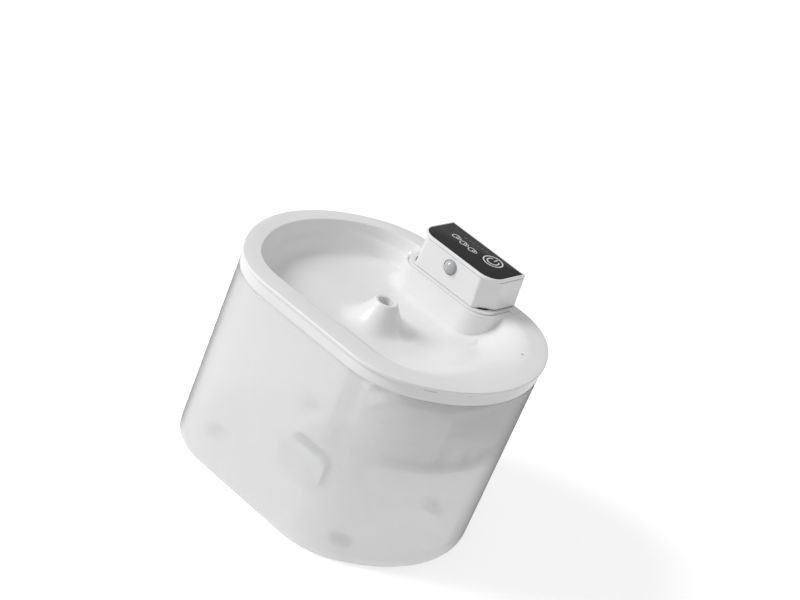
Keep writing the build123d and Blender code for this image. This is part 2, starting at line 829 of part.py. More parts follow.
with BuildPart() as head_seal:
    with BuildSketch(Plane.XY.offset(flange_top_z)):
        draw_d(
            head_half_width - head_wall + seal_bite,
            head_front_y + head_wall - seal_bite,
            head_back_y - head_wall + seal_bite,
            head_corner_radius - head_wall + seal_bite,
        )
    extrude(amount=seal_thickness)
    with BuildSketch(Plane.XY.offset(flange_top_z)):
        draw_d(
            head_half_width - head_wall,
            head_front_y + head_wall,
            head_back_y - head_wall,
            head_corner_radius - head_wall,
        )
    extrude(amount=seal_thickness, mode=Mode.SUBTRACT)

with BuildPart() as head_base:
    with BuildSketch(Plane.XY.offset(flange_bottom_z)):
        draw_d(flange_half_width, flange_front_y, flange_back_y, flange_corner)
    extrude(amount=flange_height)
    with BuildSketch(Plane.XY.offset(dish_top_z)):
        draw_block(
            -flange_half_width - plate_tab,
            flange_half_width + plate_tab,
            flange_back_y - plate_tab_length,
            flange_back_y,
            plate_thickness,
        )
    extrude(amount=plate_thickness)
    with BuildSketch(Plane.XY.offset(flange_bottom_z)):
        draw_d(
            flange_half_width - flange_wall,
            flange_front_y + flange_wall,
            flange_back_y - flange_wall,
            flange_corner - flange_wall,
        )
    extrude(amount=dish_top_z - flange_bottom_z, mode=Mode.SUBTRACT)
    # Snap legs, rounded at the tip
    for side in (-1, 1):
        with BuildSketch(Plane.YZ.offset(side * flange_half_width)):
            draw_block(
                leg_y - leg_width / 2,
                leg_y + leg_width / 2,
                flange_bottom_z - leg_length,
                flange_bottom_z,
                leg_tip_radius,
            )
            draw_block(
                leg_y - leg_width / 2,
                leg_y + leg_width / 2,
                flange_bottom_z - leg_width,
                flange_bottom_z + plate_thickness,
            )
            with Locations((leg_y, flange_bottom_z - leg_width)):
                Circle(leg_hole_diameter / 2, mode=Mode.SUBTRACT)
        extrude(amount=-side * leg_thickness)
    # Opening into the tower, and the holes for the screws
    with BuildSketch(Plane.XY.offset(dish_top_z)):
        draw_block(-tower_inner[0], tower_inner[0], tower_inner[1], tower_inner[2], tower_inner[3])
        with Locations(*screw_places):
            Circle(screw_diameter / 2)
    extrude(amount=plate_thickness, mode=Mode.SUBTRACT)

with BuildPart() as power_tower:
    with BuildSketch(Plane.XY.offset(tower_bottom_z)):
        draw_block(
            -tower_half_width, tower_half_width, tower_front_y, tower_back_y, tower_corner_radius
        )
    extrude(amount=dish_top_z - tower_bottom_z)
    fillet(power_tower.faces().sort_by(Axis.Z)[0].edges(), tower_wall)
    with BuildSketch(Plane.XY.offset(tower_bottom_z + tower_wall)):
        draw_block(-tower_inner[0], tower_inner[0], tower_inner[1], tower_inner[2], tower_inner[3])
    extrude(amount=dish_top_z - tower_bottom_z, mode=Mode.SUBTRACT)

coil_bottom_z = tower_bottom_z + tower_wall
with BuildPart() as transmitter_coil:
    with BuildSketch(Plane.XY.offset(coil_bottom_z)):
        with Locations((0, tower_centre_y)):
            Circle(coil_outer_diameter / 2)
            Circle(coil_inner_diameter / 2, mode=Mode.SUBTRACT)
    extrude(amount=coil_thickness)

with BuildPart() as coil_ferrite:
    with BuildSketch(Plane.XY.offset(coil_bottom_z + coil_thickness)):
        with Locations((0, tower_centre_y)):
            Circle(coil_outer_diameter / 2)
    extrude(amount=ferrite_thickness)

cell_holder_z = coil_bottom_z + coil_thickness + ferrite_thickness
with BuildPart() as cell_holder:
    with BuildSketch(Plane.XY.offset(cell_holder_z)):
        draw_block(
            -tower_inner[0] + cell_holder_clearance,
            tower_inner[0] - cell_holder_clearance,
            tower_inner[1] + cell_holder_clearance,
            tower_inner[2] - cell_holder_clearance,
            tower_inner[3] - cell_holder_clearance,
        )
    extrude(amount=cell_holder_height)
    with BuildSketch(Plane.XY.offset(cell_holder_z + cell_holder_floor)):
        with Locations((0, tower_centre_y)):
            Circle(cell_diameter / 2 + cell_clearance)
    extrude(amount=cell_holder_height, mode=Mode.SUBTRACT)

with BuildPart() as battery_cell:
    with BuildSketch(Plane.XY.offset(cell_holder_z + cell_holder_floor)):
        with Locations((0, tower_centre_y)):
            Circle(cell_diameter / 2)
    extrude(amount=cell_length)
    fillet(battery_cell.edges().filter_by(GeomType.CIRCLE), cell_edge_fillet)

with BuildPart() as head_screws:
    with BuildSketch(Plane.XY.offset(dish_top_z - screw_head_height)):
        with Locations(*screw_places):
            Circle(screw_head_diameter / 2)
    extrude(amount=screw_head_height)
    with BuildSketch(Plane.XY.offset(dish_top_z)):
        with Locations(*screw_places):
            Circle(screw_diameter / 2)
    extrude(amount=plate_thickness + screw_length)


# ================================================================ pump
def draw_barrel(inset=0.0, corner=pump_edge_radius):
    """Draw the pump's section, flat above and below with bulging sides, seen along Y."""
    half = pump_half_width - inset
    low_z = pump_bottom_z + inset
    high_z = pump_top_z - inset
    with BuildLine() as outline:
        Line((-half, high_z), (half, high_z))
        ThreePointArc((half, high_z), (half + pump_bulge, pump_middle_z), (half, low_z))
        Line((half, low_z), (-half, low_z))
        ThreePointArc((-half, low_z), (-half - pump_bulge, pump_middle_z), (-half, high_z))
    barrel = make_face(outline.edges())
    if corner > 0:
        fillet(barrel.vertices(), corner)


def plane_at(y):
    """The XZ plane at a place along Y. It faces -Y."""
    return Plane.XZ.offset(-y)


well_radius = rotor_diameter / 2 + rotor_gap
chamber_radius = impeller_diameter / 2 + chamber_gap
impeller_front_y = seam_y + chamber_gap
impeller_back_y = impeller_front_y + impeller_thickness
rotor_back_y = impeller_back_y + rotor_length
well_back_y = rotor_back_y + well_end_gap
chamber_back_y = impeller_back_y + chamber_gap
cavity_front_y = chamber_back_y + pump_wall
cavity_back_y = pump_back_y - pump_wall
yoke_front_y = well_back_y + bush_length + rotor_well_wall + yoke_gap
yoke_back_y = yoke_front_y + yoke_depth
pole_x = well_radius + rotor_well_wall + stator_gap
base_half_width = pump_half_width - pump_base_margin
cap_wall_y = seam_y - pump_wall

with BuildPart() as pump_body:
    with BuildSketch(plane_at(pump_back_y)):
        draw_barrel()
    extrude(amount=pump_back_y - seam_y)
    with BuildSketch(Plane.XY.offset(pump_bottom_z)):
        draw_block(-base_half_width, base_half_width, cavity_front_y, cavity_back_y)
    extrude(amount=pump_height - pump_wall, mode=Mode.SUBTRACT)
    with BuildSketch(plane_at(seam_y)):
        with Locations((0, pump_middle_z)):
            Circle(well_radius + rotor_well_wall)
    extrude(amount=-(well_back_y + bush_length + rotor_well_wall - seam_y))
    with BuildSketch(plane_at(seam_y)):
        with Locations((0, pump_middle_z)):
            Circle(well_radius)
    extrude(amount=-(well_back_y - seam_y), mode=Mode.SUBTRACT)
    with BuildSketch(plane_at(seam_y)):
        with Locations((0, pump_middle_z)):
            Circle(chamber_radius)
    extrude(amount=-(chamber_back_y - seam_y), mode=Mode.SUBTRACT)
    with BuildSketch(plane_at(well_back_y)):
        with Locations((0, pump_middle_z)):
            Circle(bush_diameter / 2)
    extrude(amount=-bush_length, mode=Mode.SUBTRACT)
    # Nozzle, and its bore down to the impeller chamber
    with BuildSketch(Plane.XY.offset(pump_top_z - pump_wall)):
        with Locations((0, spout_y)):
            Circle(nozzle_diameter / 2)
    extrude(amount=nozzle_height + pump_wall)
    chamfer(pump_body.faces().sort_by(Axis.Z)[-1].edges(), nozzle_lead_in)
    with BuildSketch(Plane.XY.offset(pump_middle_z)):
        with Locations((0, spout_y)):
            Circle(nozzle_bore / 2)
    extrude(amount=nozzle_top_z - pump_middle_z, mode=Mode.SUBTRACT)

with BuildPart() as pump_base:
    with BuildSketch(Plane.XY.offset(pump_bottom_z)):
        draw_block(
            -base_half_width + pump_base_clearance,
            base_half_width - pump_base_clearance,
            cavity_front_y + pump_base_clearance,
            cavity_back_y - pump_base_clearance,
        )
    extrude(amount=pump_base_thickness)

with BuildPart() as pump_cap:
    with BuildSketch(plane_at(seam_y)):
        draw_barrel()
    extrude(amount=pump_cap_depth)
    with BuildSketch(plane_at(cap_wall_y)):
        draw_barrel(pump_wall, pump_edge_radius - pump_wall)
    extrude(amount=pump_cap_depth - 2 * pump_wall, mode=Mode.SUBTRACT)
    with BuildSketch(plane_at(pump_front_y)):
        with Locations((0, pump_middle_z)):
            Circle(inlet_diameter / 2)
        for side in (-1, 1):
            with Locations((side * grille_pin_x, pump_middle_z)):
                Circle(grille_pin_diameter / 2 + grille_pin_clearance)
    extrude(amount=-pump_wall, mode=Mode.SUBTRACT)
    with BuildSketch(plane_at(cap_wall_y)):
        with Locations((0, pump_middle_z)):
            with PolarLocations(eye_circle_radius, eye_count):
                Circle(eye_diameter / 2)
    extrude(amount=-pump_wall, mode=Mode.SUBTRACT)
    with BuildSketch(plane_at(seam_y)):
        with Locations((0, pump_middle_z)):
            Circle(shaft_diameter / 2)
    extrude(amount=pump_wall / 2, mode=Mode.SUBTRACT)

with BuildPart() as inset_plate:
    with BuildSketch(plane_at(pump_front_y)):
        draw_barrel(inset_plate_margin)
        with Locations((0, pump_middle_z)):
            Circle(inlet_diameter / 2, mode=Mode.SUBTRACT)
        for side in (-1, 1):
            with Locations((side * grille_pin_x, pump_middle_z)):
                Circle(grille_pin_diameter / 2 + grille_pin_clearance, mode=Mode.SUBTRACT)
    extrude(amount=inset_plate_thickness)

with BuildPart() as intake_foam:
    with BuildSketch(plane_at(inset_front_y)):
        draw_barrel(foam_margin, grille_corner_radius)
        for side in (-1, 1):
            with Locations((side * grille_pin_x, pump_middle_z)):
                Circle(grille_pin_diameter / 2 + grille_pin_clearance, mode=Mode.SUBTRACT)
    extrude(amount=foam_thickness)

with BuildPart() as intake_grille:
    with BuildSketch(plane_at(foam_front_y)):
        draw_barrel(0, grille_corner_radius)
        for row, slot_height in enumerate(grille_row_heights):
            row_z = pump_middle_z + (row - len(grille_row_heights) // 2) * grille_row_spacing
            with Locations((0, row_z)):
                with GridLocations(grille_column_spacing, grille_row_spacing, grille_columns, 1):
                    RectangleRounded(
                        grille_slot_width, slot_height, grille_slot_corner, mode=Mode.SUBTRACT
                    )
    extrude(amount=grille_thickness)
    fillet(intake_grille.faces().sort_by(Axis.Y)[0].outer_wire().edges(), grille_edge_fillet)
    with BuildSketch(plane_at(foam_front_y)):
        for side in (-1, 1):
            with Locations((side * grille_pin_x, pump_middle_z)):
                Circle(grille_pin_diameter / 2)
    extrude(amount=-grille_pin_length)

with BuildPart() as pump_feet:
    foot_rows = (pump_front_y + pump_foot_margin, pump_back_y - pump_foot_margin)
    with BuildSketch(Plane.XY.offset(tank_floor_z)):
        for foot_row_y in foot_rows:
            with Locations((-pump_foot_x, foot_row_y), (pump_foot_x, foot_row_y)):
                Circle(pump_foot_diameter / 2)
    extrude(amount=pump_foot_height)

with BuildPart() as shaft_bush:
    with BuildSketch(plane_at(well_back_y)):
        with Locations((0, pump_middle_z)):
            Circle(bush_diameter / 2)
            Circle(shaft_diameter / 2, mode=Mode.SUBTRACT)
    extrude(amount=-bush_length)

with BuildPart() as rotor_shaft:
    with BuildSketch(plane_at(seam_y - pump_wall / 2)):
        with Locations((0, pump_middle_z)):
            Circle(shaft_diameter / 2)
    extrude(amount=-(well_back_y + bush_length - seam_y + pump_wall / 2))

with BuildPart() as impeller:
    with BuildSketch(plane_at(impeller_back_y)):
        with Locations((0, pump_middle_z)):
            Circle(impeller_diameter / 2)
    extrude(amount=impeller_disc)
    with BuildSketch(plane_at(impeller_back_y)):
        with Locations((0, pump_middle_z)):
            Circle(impeller_hub_diameter / 2)
            with PolarLocations(impeller_diameter / 4, impeller_blades):
                Rectangle(impeller_diameter / 2 - blade_thickness, blade_thickness)
    extrude(amount=impeller_thickness)
    with BuildSketch(plane_at(impeller_back_y)):
        with Locations((0, pump_middle_z)):
            Circle(shaft_diameter / 2 + shaft_clearance)
    extrude(amount=impeller_thickness, mode=Mode.SUBTRACT)

with BuildPart() as rotor_magnet:
    with BuildSketch(plane_at(impeller_back_y)):
        with Locations((0, pump_middle_z)):
            Circle(rotor_diameter / 2)
            Circle(shaft_diameter / 2 + shaft_clearance, mode=Mode.SUBTRACT)
    extrude(amount=-rotor_length)

with BuildPart() as stator_core:
    with BuildSketch(Plane.XY.offset(pump_middle_z - pole_height / 2)):
        for side in (-1, 1):
            near_x, far_x = sorted((side * pole_x, side * (pole_x + pole_width)))
            draw_block(near_x, far_x, cavity_front_y + stator_gap, yoke_back_y)
        draw_block(-pole_x, pole_x, yoke_front_y, yoke_back_y)
    extrude(amount=pole_height)

with BuildPart() as stator_coil:
    with BuildSketch(Plane.YZ.offset(-coil_half_length)):
        draw_block(
            yoke_front_y - coil_build / 2,
            yoke_back_y + coil_build / 2,
            pump_middle_z - pole_height / 2 - coil_build,
            pump_middle_z + pole_height / 2 + coil_build,
            coil_build / 2,
        )
    extrude(amount=2 * coil_half_length)
    with BuildSketch(Plane.YZ.offset(-coil_half_length)):
        draw_block(
            yoke_front_y,
            yoke_back_y,
            pump_middle_z - pole_height / 2,
            pump_middle_z + pole_height / 2,
        )
    extrude(amount=2 * coil_half_length, mode=Mode.SUBTRACT)

with BuildPart() as pickup_coil:
    with BuildSketch(plane_at(cavity_back_y)):
        with Locations((0, pump_middle_z)):
            Circle(pickup_diameter / 2)
            Circle(coil_inner_diameter / 2, mode=Mode.SUBTRACT)
    extrude(amount=pickup_thickness)


# ================================================================ riser tube
with BuildPart() as riser_tube:
    with BuildSketch(Plane.XY.offset(tube_bottom_z)):
        with Locations((0, spout_y)):
            Circle(tube_diameter / 2)
            Circle(tube_bore / 2, mode=Mode.SUBTRACT)
    extrude(amount=tube_top_z - tube_bottom_z)

with BuildPart() as tube_sleeve:
    with BuildSketch(Plane.XY.offset(tube_bottom_z)):
        with Locations((0, spout_y)):
            Circle(tube_bore / 2 - sleeve_clearance)
            Circle(sleeve_bore / 2, mode=Mode.SUBTRACT)
    extrude(amount=sleeve_length)


# ================================================================ filter cartridge
def draw_cartridge(half_length, facet_x, facet_end_x, facet_end_y, outer_x, back_x):
    """Draw a cartridge plan: flat ends, a facet at each corner and a curved outer side."""
    with BuildLine() as outline:
        Polyline(
            (facet_end_x, facet_end_y),
            (facet_x, half_length),
            (back_x, half_length),
            (back_x, -half_length),
            (facet_x, -half_length),
            (facet_end_x, -facet_end_y),
        )
        ThreePointArc((facet_end_x, -facet_end_y), (outer_x, 0), (facet_end_x, facet_end_y))
    make_face(outline.edges())


def draw_holder_section(inset, top_z):
    """Draw the holder's section across its length: a scoop whose mouth stands back from its lobe."""
    low_z = holder_bottom_z + inset
    rise = inset * slope_share
    far_x = holder_outer_x + cut_margin
    with BuildLine() as outline:
        Polyline(
            (far_x, low_z),
            (holder_facet_x, low_z),
            (holder_back_x + inset, holder_bottom_z + holder_lobe_low + rise),
            (holder_back_x + inset, holder_bottom_z + holder_lobe_high - rise),
            (holder_shoulder_x + rise, holder_bottom_z + holder_shoulder_high - rise),
            (holder_back_top_x + inset, top_z),
            (far_x, top_z),
            (far_x, low_z),
        )
    make_face(outline.edges())


def holder_form(inset, top_z):
    """The holder as a solid, or the hollow inside its walls."""
    facet_inset = inset * slope_share
    with BuildPart() as form:
        with BuildSketch(Plane.XY.offset(holder_bottom_z)):
            draw_cartridge(
                holder_half_length - inset,
                holder_facet_x - facet_inset,
                holder_facet_end_x - inset,
                holder_facet_end_y - facet_inset,
                holder_outer_x - inset,
                holder_back_x,
            )
        extrude(amount=top_z - holder_bottom_z)
        with BuildSketch(Plane.XZ):
            draw_holder_section(inset, top_z)
        extrude(amount=holder_half_length, both=True, mode=Mode.INTERSECT)
    return form.part


def draw_granule_plan(inset):
    """Draw the granule tray's plan, drawn in by an inset."""
    draw_cartridge(
        granule_half_length - inset,
        granule_facet_x - inset * slope_share,
        granule_facet_end_x - inset,
        granule_facet_end_y - inset * slope_share,
        granule_outer_x - inset,
        granule_back_x + inset,
    )


def compartment_form(low_y, high_y, clearance, low_z, high_z):
    """The space in one compartment of the granule tray, between two places along Y."""
    with BuildPart() as form:
        with BuildSketch(Plane.XY.offset(low_z)):
            draw_granule_plan(granule_rim_width + granule_wall + clearance)
            draw_block(
                0,
                tank_length,
                low_y + divider_thickness / 2 + clearance,
                high_y - divider_thickness / 2 - clearance,
                mode=Mode.INTERSECT,
            )
        extrude(amount=high_z - low_z)
    return form.part


holder_solid = holder_form(0, holder_top_z)
holder_space = holder_form(holder_wall, holder_top_z + cut_margin)
facet_run = (holder_facet_end_x - holder_facet_x, holder_half_length - holder_facet_end_y)
facet_length = sqrt(facet_run[0] ** 2 + facet_run[1] ** 2)
facet_turn = degrees(atan2(facet_run[1], facet_run[0]))
divider_places = (-compartment_width, 0, compartment_width)
end_compartments = (
    (-granule_half_length, -compartment_width),
    (compartment_width, granule_half_length),
)
middle_compartments = ((-compartment_width, 0), (0, compartment_width))

with BuildPart() as filter_holder:
    add(holder_solid)
    add(holder_space, mode=Mode.SUBTRACT)
    # Fence of rounded tabs along the curved side, open above them and between them
    with BuildSketch(Plane.YZ.offset(fence_inner_x)):
        draw_block(
            fence_start_y, fence_end_y, holder_bottom_z + holder_wall, holder_top_z + cut_margin
        )
        for tab_y, tab_width in fence_tabs:
            draw_block(
                tab_y - tab_width / 2,
                tab_y + tab_width / 2,
                holder_bottom_z - fence_height,
                holder_bottom_z + fence_height,
                fence_tab_radius,
                Mode.SUBTRACT,
            )
    extrude(amount=holder_outer_x - fence_inner_x + cut_margin, mode=Mode.SUBTRACT)
    # Two slits in each facet, which leave a springy tab between them
    with BuildSketch(Plane.XY.offset(holder_top_z - catch_slot_height)):
        for side in (-1, 1):
            for slot_place in catch_slots:
                share = slot_place / facet_length
                slot_x = holder_facet_x + share * facet_run[0]
                slot_y = side * (holder_half_length - share * facet_run[1])
                with Locations((slot_x, slot_y)):
                    Rectangle(catch_slot_width, catch_slot_cut, rotation=-side * facet_turn)
    extrude(amount=catch_slot_height, mode=Mode.SUBTRACT)
    # Ribs that the granule tray stands on, one under each of its dividers
    for rib_y in divider_places:
        with BuildSketch(plane_at(rib_y - rib_thickness / 2)):
            draw_holder_section(holder_wall / 2, holder_top_z)
            draw_block(
                holder_back_x, rib_outer_x, holder_bottom_z, granule_floor_z, mode=Mode.INTERSECT
            )
        extrude(amount=-rib_thickness)

with BuildPart() as granule_tray:
    with BuildSketch(Plane.XY.offset(granule_floor_z)):
        draw_granule_plan(granule_rim_width)
    extrude(amount=granule_depth)
    with BuildSketch(Plane.XY.offset(granule_rim_z - granule_rim_thickness)):
        draw_granule_plan(0)
    extrude(amount=granule_rim_thickness)
    for low_y, high_y in end_compartments + middle_compartments:
        add(
            compartment_form(
                low_y, high_y, 0, granule_floor_z + granule_wall, granule_rim_z + cut_margin
            ),
            mode=Mode.SUBTRACT,
        )


def media_form(low_y, high_y):
    """The granules of one compartment, heaped a little above its rim."""
    top_z = granule_rim_z + media_crown
    with BuildPart() as form:
        add(compartment_form(low_y, high_y, media_clearance, granule_floor_z + granule_wall, top_z))
        chamfer(form.faces().sort_by(Axis.Z)[-1].edges(), media_crown)
    return form.part


with BuildPart() as resin_media:
    for low_y, high_y in end_compartments:
        add(media_form(low_y, high_y))

with BuildPart() as carbon_media:
    for low_y, high_y in middle_compartments:
        add(media_form(low_y, high_y))

with BuildPart() as filter_film:
    with BuildSketch(Plane.XY.offset(film_bottom_z)):
        with BuildLine():
            Polyline(
                (film_side_x, film_half_length),
                (film_back_x, film_half_length),
                (film_back_x, -film_half_length),
                (film_side_x, -film_half_length),
            )
            ThreePointArc(
                (film_side_x, -film_half_length), (film_outer_x, 0), (film_side_x, film_half_length)
            )
        film_face = make_face()
        fillet(film_face.vertices().group_by(Axis.Y)[0].sort_by(Axis.X)[-1], film_corner_radius)
    extrude(amount=film_thickness)


# ================================================================ pieces
pieces = {
    "tank": tank,
    "tank_feet": tank_feet,
    "dish": dish,
    "head_shell": head_shell,
    "touch_panel": touch_panel,
    "sensor_lens": sensor_lens,
    "motion_sensor": motion_sensor,
    "sensor_board": sensor_board,
    "control_board": control_board,
    "touch_springs": touch_springs,
    "charging_port": charging_port,
    "port_plug": port_plug,
    "head_seal": head_seal,
    "head_base": head_base,
    "head_screws": head_screws,
    "power_tower": power_tower,
    "cell_holder": cell_holder,
    "battery_cell": battery_cell,
    "transmitter_coil": transmitter_coil,
    "coil_ferrite": coil_ferrite,
    "pump_body": pump_body,
    "pump_cap": pump_cap,
    "pump_base": pump_base,
    "pump_feet": pump_feet,
    "inset_plate": inset_plate,
    "intake_foam": intake_foam,
    "intake_grille": intake_grille,
    "shaft_bush": shaft_bush,
    "rotor_shaft": rotor_shaft,
    "impeller": impeller,
    "rotor_magnet": rotor_magnet,
    "stator_core": stator_core,
    "stator_coil": stator_coil,
    "pickup_coil": pickup_coil,
    "riser_tube": riser_tube,
    "tube_sleeve": tube_sleeve,
    "filter_holder": filter_holder,
    "granule_tray": granule_tray,
    "resin_media": resin_media,
    "carbon_media": carbon_media,
    "filter_film": filter_film,
}
os.makedirs("parts", exist_ok=True)
for label, piece in pieces.items():
    piece.part.label = label
    export_step(piece.part, f"parts/{label}.step")
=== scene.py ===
"""Cordless pet water fountain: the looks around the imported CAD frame.

Sizes in this script are millimetres in the row's frame, and become metres where a mesh is made.
"""

import json
import random
from math import asin, atan2, cos, pi, radians, sin, sqrt, tau

import bmesh
import bpy
import numpy as np
from mathutils import Matrix, Vector
from mathutils.geometry import delaunay_2d_cdt


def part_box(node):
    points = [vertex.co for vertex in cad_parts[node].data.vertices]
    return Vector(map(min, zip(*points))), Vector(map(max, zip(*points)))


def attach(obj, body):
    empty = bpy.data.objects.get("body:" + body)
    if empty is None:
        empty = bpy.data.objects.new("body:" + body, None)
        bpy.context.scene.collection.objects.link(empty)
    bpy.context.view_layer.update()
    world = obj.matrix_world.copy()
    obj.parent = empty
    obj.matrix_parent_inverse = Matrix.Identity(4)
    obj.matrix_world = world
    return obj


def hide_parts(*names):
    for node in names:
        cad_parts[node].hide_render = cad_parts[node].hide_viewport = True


MM = 0.001
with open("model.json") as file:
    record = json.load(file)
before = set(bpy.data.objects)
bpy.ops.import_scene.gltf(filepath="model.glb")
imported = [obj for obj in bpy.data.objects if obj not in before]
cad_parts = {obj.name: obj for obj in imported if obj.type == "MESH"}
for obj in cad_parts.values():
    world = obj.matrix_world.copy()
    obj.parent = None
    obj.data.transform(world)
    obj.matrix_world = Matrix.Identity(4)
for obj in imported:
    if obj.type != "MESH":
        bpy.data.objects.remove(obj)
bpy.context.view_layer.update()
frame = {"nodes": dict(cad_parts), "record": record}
scene = bpy.context.scene
scene.view_settings.view_transform = "Standard"


def node_box(node):
    """Lowest and highest corner of a CAD node, in millimetres."""
    low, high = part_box(node)
    return low / MM, high / MM


# ---------------------------------------------------------------- sizes, in millimetres
TANK_RIM = (98.5, 82.2, 50.0, 98.0)
TANK_DRAFT = 1.2
TANK_WALL = 2.2
LIP = (99.6, 83.3, 51.1, 99.1)
BASIN = (89.0, 67.9, 38.0, 86.0)
BASIN_DEPTH = 18.0
DISH_THICKNESS = 2.1
BAND_INSET = 1.3
SPOUT_Y = -9.6
COLLAR = dict(half_width=35.6, front=41.4, back=80.6, corner=14.0)
COLLAR_WALL = 1.8
HEAD = dict(half_width=32.0, front=43.8, back=78.8, corner=12.0)
PANEL_BORDER, PANEL_THICK = 1.3, 1.6
LENS_Z = 149.3

tank_low, tank_high = node_box("tank")
head_low, head_high = node_box("head_shell")
RIM_Z = tank_high.z
TOP_Z = node_box("dish")[1].z
LOOP_POINTS = 360


# ---------------------------------------------------------------- outlines
class Oval:
    """An oval with straight long sides, made of its end arcs, corner arcs and two lines."""

    def __init__(self, half_length, half_width, corner, end):
        self.half_width, self.corner, self.end = half_width, corner, end
        self.end_x = half_length - end
        self.corner_y = half_width - corner
        self.corner_x = self.end_x + sqrt((end - corner) ** 2 - self.corner_y**2)
        self.swing = atan2(self.corner_y, self.corner_x - self.end_x)

    def inward(self, x, y):
        """How far each place lies inside the outline."""
        x, y = np.abs(x), np.abs(y)
        straight = self.half_width - y
        round_end = self.end - np.hypot(x - self.end_x, y)
        in_corner = (x > self.corner_x) & (np.arctan2(y, x - self.end_x) > self.swing)
        corner = self.corner - np.hypot(x - self.corner_x, y - self.corner_y)
        return np.where(in_corner, corner, np.minimum(straight, round_end))

    def loop(self, count, offset=0.0):
        """Places evenly spaced round the outline, moved outward by an offset."""
        end, line = 2 * self.swing * self.end, 2 * self.corner_x
        corner = (pi / 2 - self.swing) * self.corner
        parts = [
            (end, "end", 1), (corner, "corner", 1), (line, "line", 1), (corner, "corner", 2),
            (end, "end", 2), (corner, "corner", 3), (line, "line", 2), (corner, "corner", 4),
        ]
        total = sum(part[0] for part in parts)
        places = []
        for k in range(count):
            run = total * k / count
            for length, kind, which in parts:
                if run <= length:
                    break
                run -= length
            places.append(self._place(kind, which, run, offset))
        return places

    def _place(self, kind, which, run, offset):
        """The place at a distance along one of the outline's arcs or lines."""
        side = 1 if which == 1 else -1
        if kind == "end":
            angle = -self.swing + run / self.end + (pi if which == 2 else 0)
            radius = self.end + offset
            return side * self.end_x + radius * cos(angle), radius * sin(angle)
        if kind == "line":
            return side * (self.corner_x - run), side * (self.half_width + offset)
        start = (self.swing, pi / 2, pi + self.swing, 3 * pi / 2)[which - 1]
        angle = start + run / self.corner
        side_x, side_y = ((1, 1), (-1, 1), (-1, -1), (1, -1))[which - 1]
        radius = self.corner + offset
        return side_x * self.corner_x + radius * cos(angle), side_y * self.corner_y + radius * sin(angle)


def outside_d(x, y, half_width, front, back, corner):
    """How far each place lies outside a D: flat at the back, its front corners rounded."""
    across = np.abs(x) - (half_width - corner)
    ahead = (front + corner) - y
    round_part = np.hypot(np.maximum(across, 0), np.maximum(ahead, 0)) - corner
    distance = round_part + np.minimum(np.maximum(across, ahead), 0)
    return np.maximum(distance, y - back)


def d_loop(half_width, front, back, corner, offset=0.0, corner_steps=14, line_steps=24):
    """Places round a D outline, from its back left corner, moved outward by an offset."""
    radius = corner + offset
    wide = half_width + offset
    rear = back + offset
    turn_y = front + corner
    inner = half_width - corner
    places = [(-wide, rear + (turn_y - rear) * k / line_steps) for k in range(line_steps)]
    for k in range(corner_steps):
        angle = pi + pi / 2 * k / corner_steps
        places.append((-inner + radius * cos(angle), turn_y + radius * sin(angle)))
    places += [(-inner + 2 * inner * k / line_steps, front - offset) for k in range(line_steps)]
    for k in range(corner_steps):
        angle = 3 * pi / 2 + pi / 2 * k / corner_steps
        places.append((inner + radius * cos(angle), turn_y + radius * sin(angle)))
    places += [(wide, turn_y + (rear - turn_y) * k / line_steps) for k in range(line_steps)]
    places += [(wide - 2 * wide * k / line_steps, rear) for k in range(line_steps)]
    return places


def circle(radius, count, x=0.0, y=0.0):
    return [(x + radius * cos(tau * k / count), y + radius * sin(tau * k / count)) for k in range(count)]


def at_height(places, z):
    """The same places as 3-D points at one height, or at a height worked out for each."""
    if callable(z):
        heights = z(np.array([p[0] for p in places]), np.array([p[1] for p in places]))
        return [(x, y, float(h)) for (x, y), h in zip(places, heights)]
    return [(x, y, z) for x, y in places]


def upright(places, y):
    """The places of a section seen along Y, as 3-D points."""
    return [(x, y, z) for x, z in places]


def ease(t):
    """A smooth step from 0 to 1."""
    t = np.clip(t, 0, 1)
    return t * t * (3 - 2 * t)


# ---------------------------------------------------------------- meshes
class Build:
    """Collects patches of one mesh, which are then joined where their points meet."""

    def __init__(self):
        self.points, self.faces, self.slots = [], [], []

    def patch(self, points, faces, slot=0):
        base = len(self.points)
        self.points += [tuple(p) for p in points]
        self.faces += [tuple(base + k for k in face) for face in faces]
        self.slots += [slot] * len(faces)

    def loft(self, rings, cap_first=False, cap_last=False, slot=0):
        """Joins closed rings of equal count with quads."""
        count = len(rings[0])
        faces = []
        for level in range(len(rings) - 1):
            low, high = level * count, (level + 1) * count
            for k in range(count):
                after = (k + 1) % count
                faces.append((low + k, low + after, high + after, high + k))
        if cap_first:
            faces.append(tuple(reversed(range(count))))
        if cap_last:
            faces.append(tuple(range((len(rings) - 1) * count, len(rings) * count)))
        self.patch([p for ring in rings for p in ring], faces, slot)

    def solid(self, rings, slot=0):
        """A loft that is closed at both ends."""
        self.loft(rings, cap_first=True, cap_last=True, slot=slot)

    def finish(self, name, body, looks, replaces=(), sharp=32, merge=0.004):
        """The finished piece, riding on a body. looks name its materials, in order."""
        mesh = bpy.data.meshes.new(name)
        mesh.from_pydata([Vector(p) * MM for p in self.points], [], self.faces)
        mesh.polygons.foreach_set("material_index", self.slots)
        work = bmesh.new()
        work.from_mesh(mesh)
        bmesh.ops.remove_doubles(work, verts=work.verts, dist=merge * MM)
        bmesh.ops.recalc_face_normals(work, faces=work.faces)
        work.to_mesh(mesh)
        work.free()
        piece = bpy.data.objects.new(name, mesh)
        scene.collection.objects.link(piece)
        for look in looks:
            mesh.materials.append(MATERIALS[look])
        shade(piece, sharp)
        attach(piece, body)
        if replaces:
            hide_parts(*replaces)
        return piece


def shade(piece, sharp):
    """Smooth shading, with edges sharper than an angle kept crisp."""
    piece.data.polygons.foreach_set("use_smooth", [True] * len(piece.data.polygons))
    piece.data.set_sharp_from_angle(angle=radians(sharp))


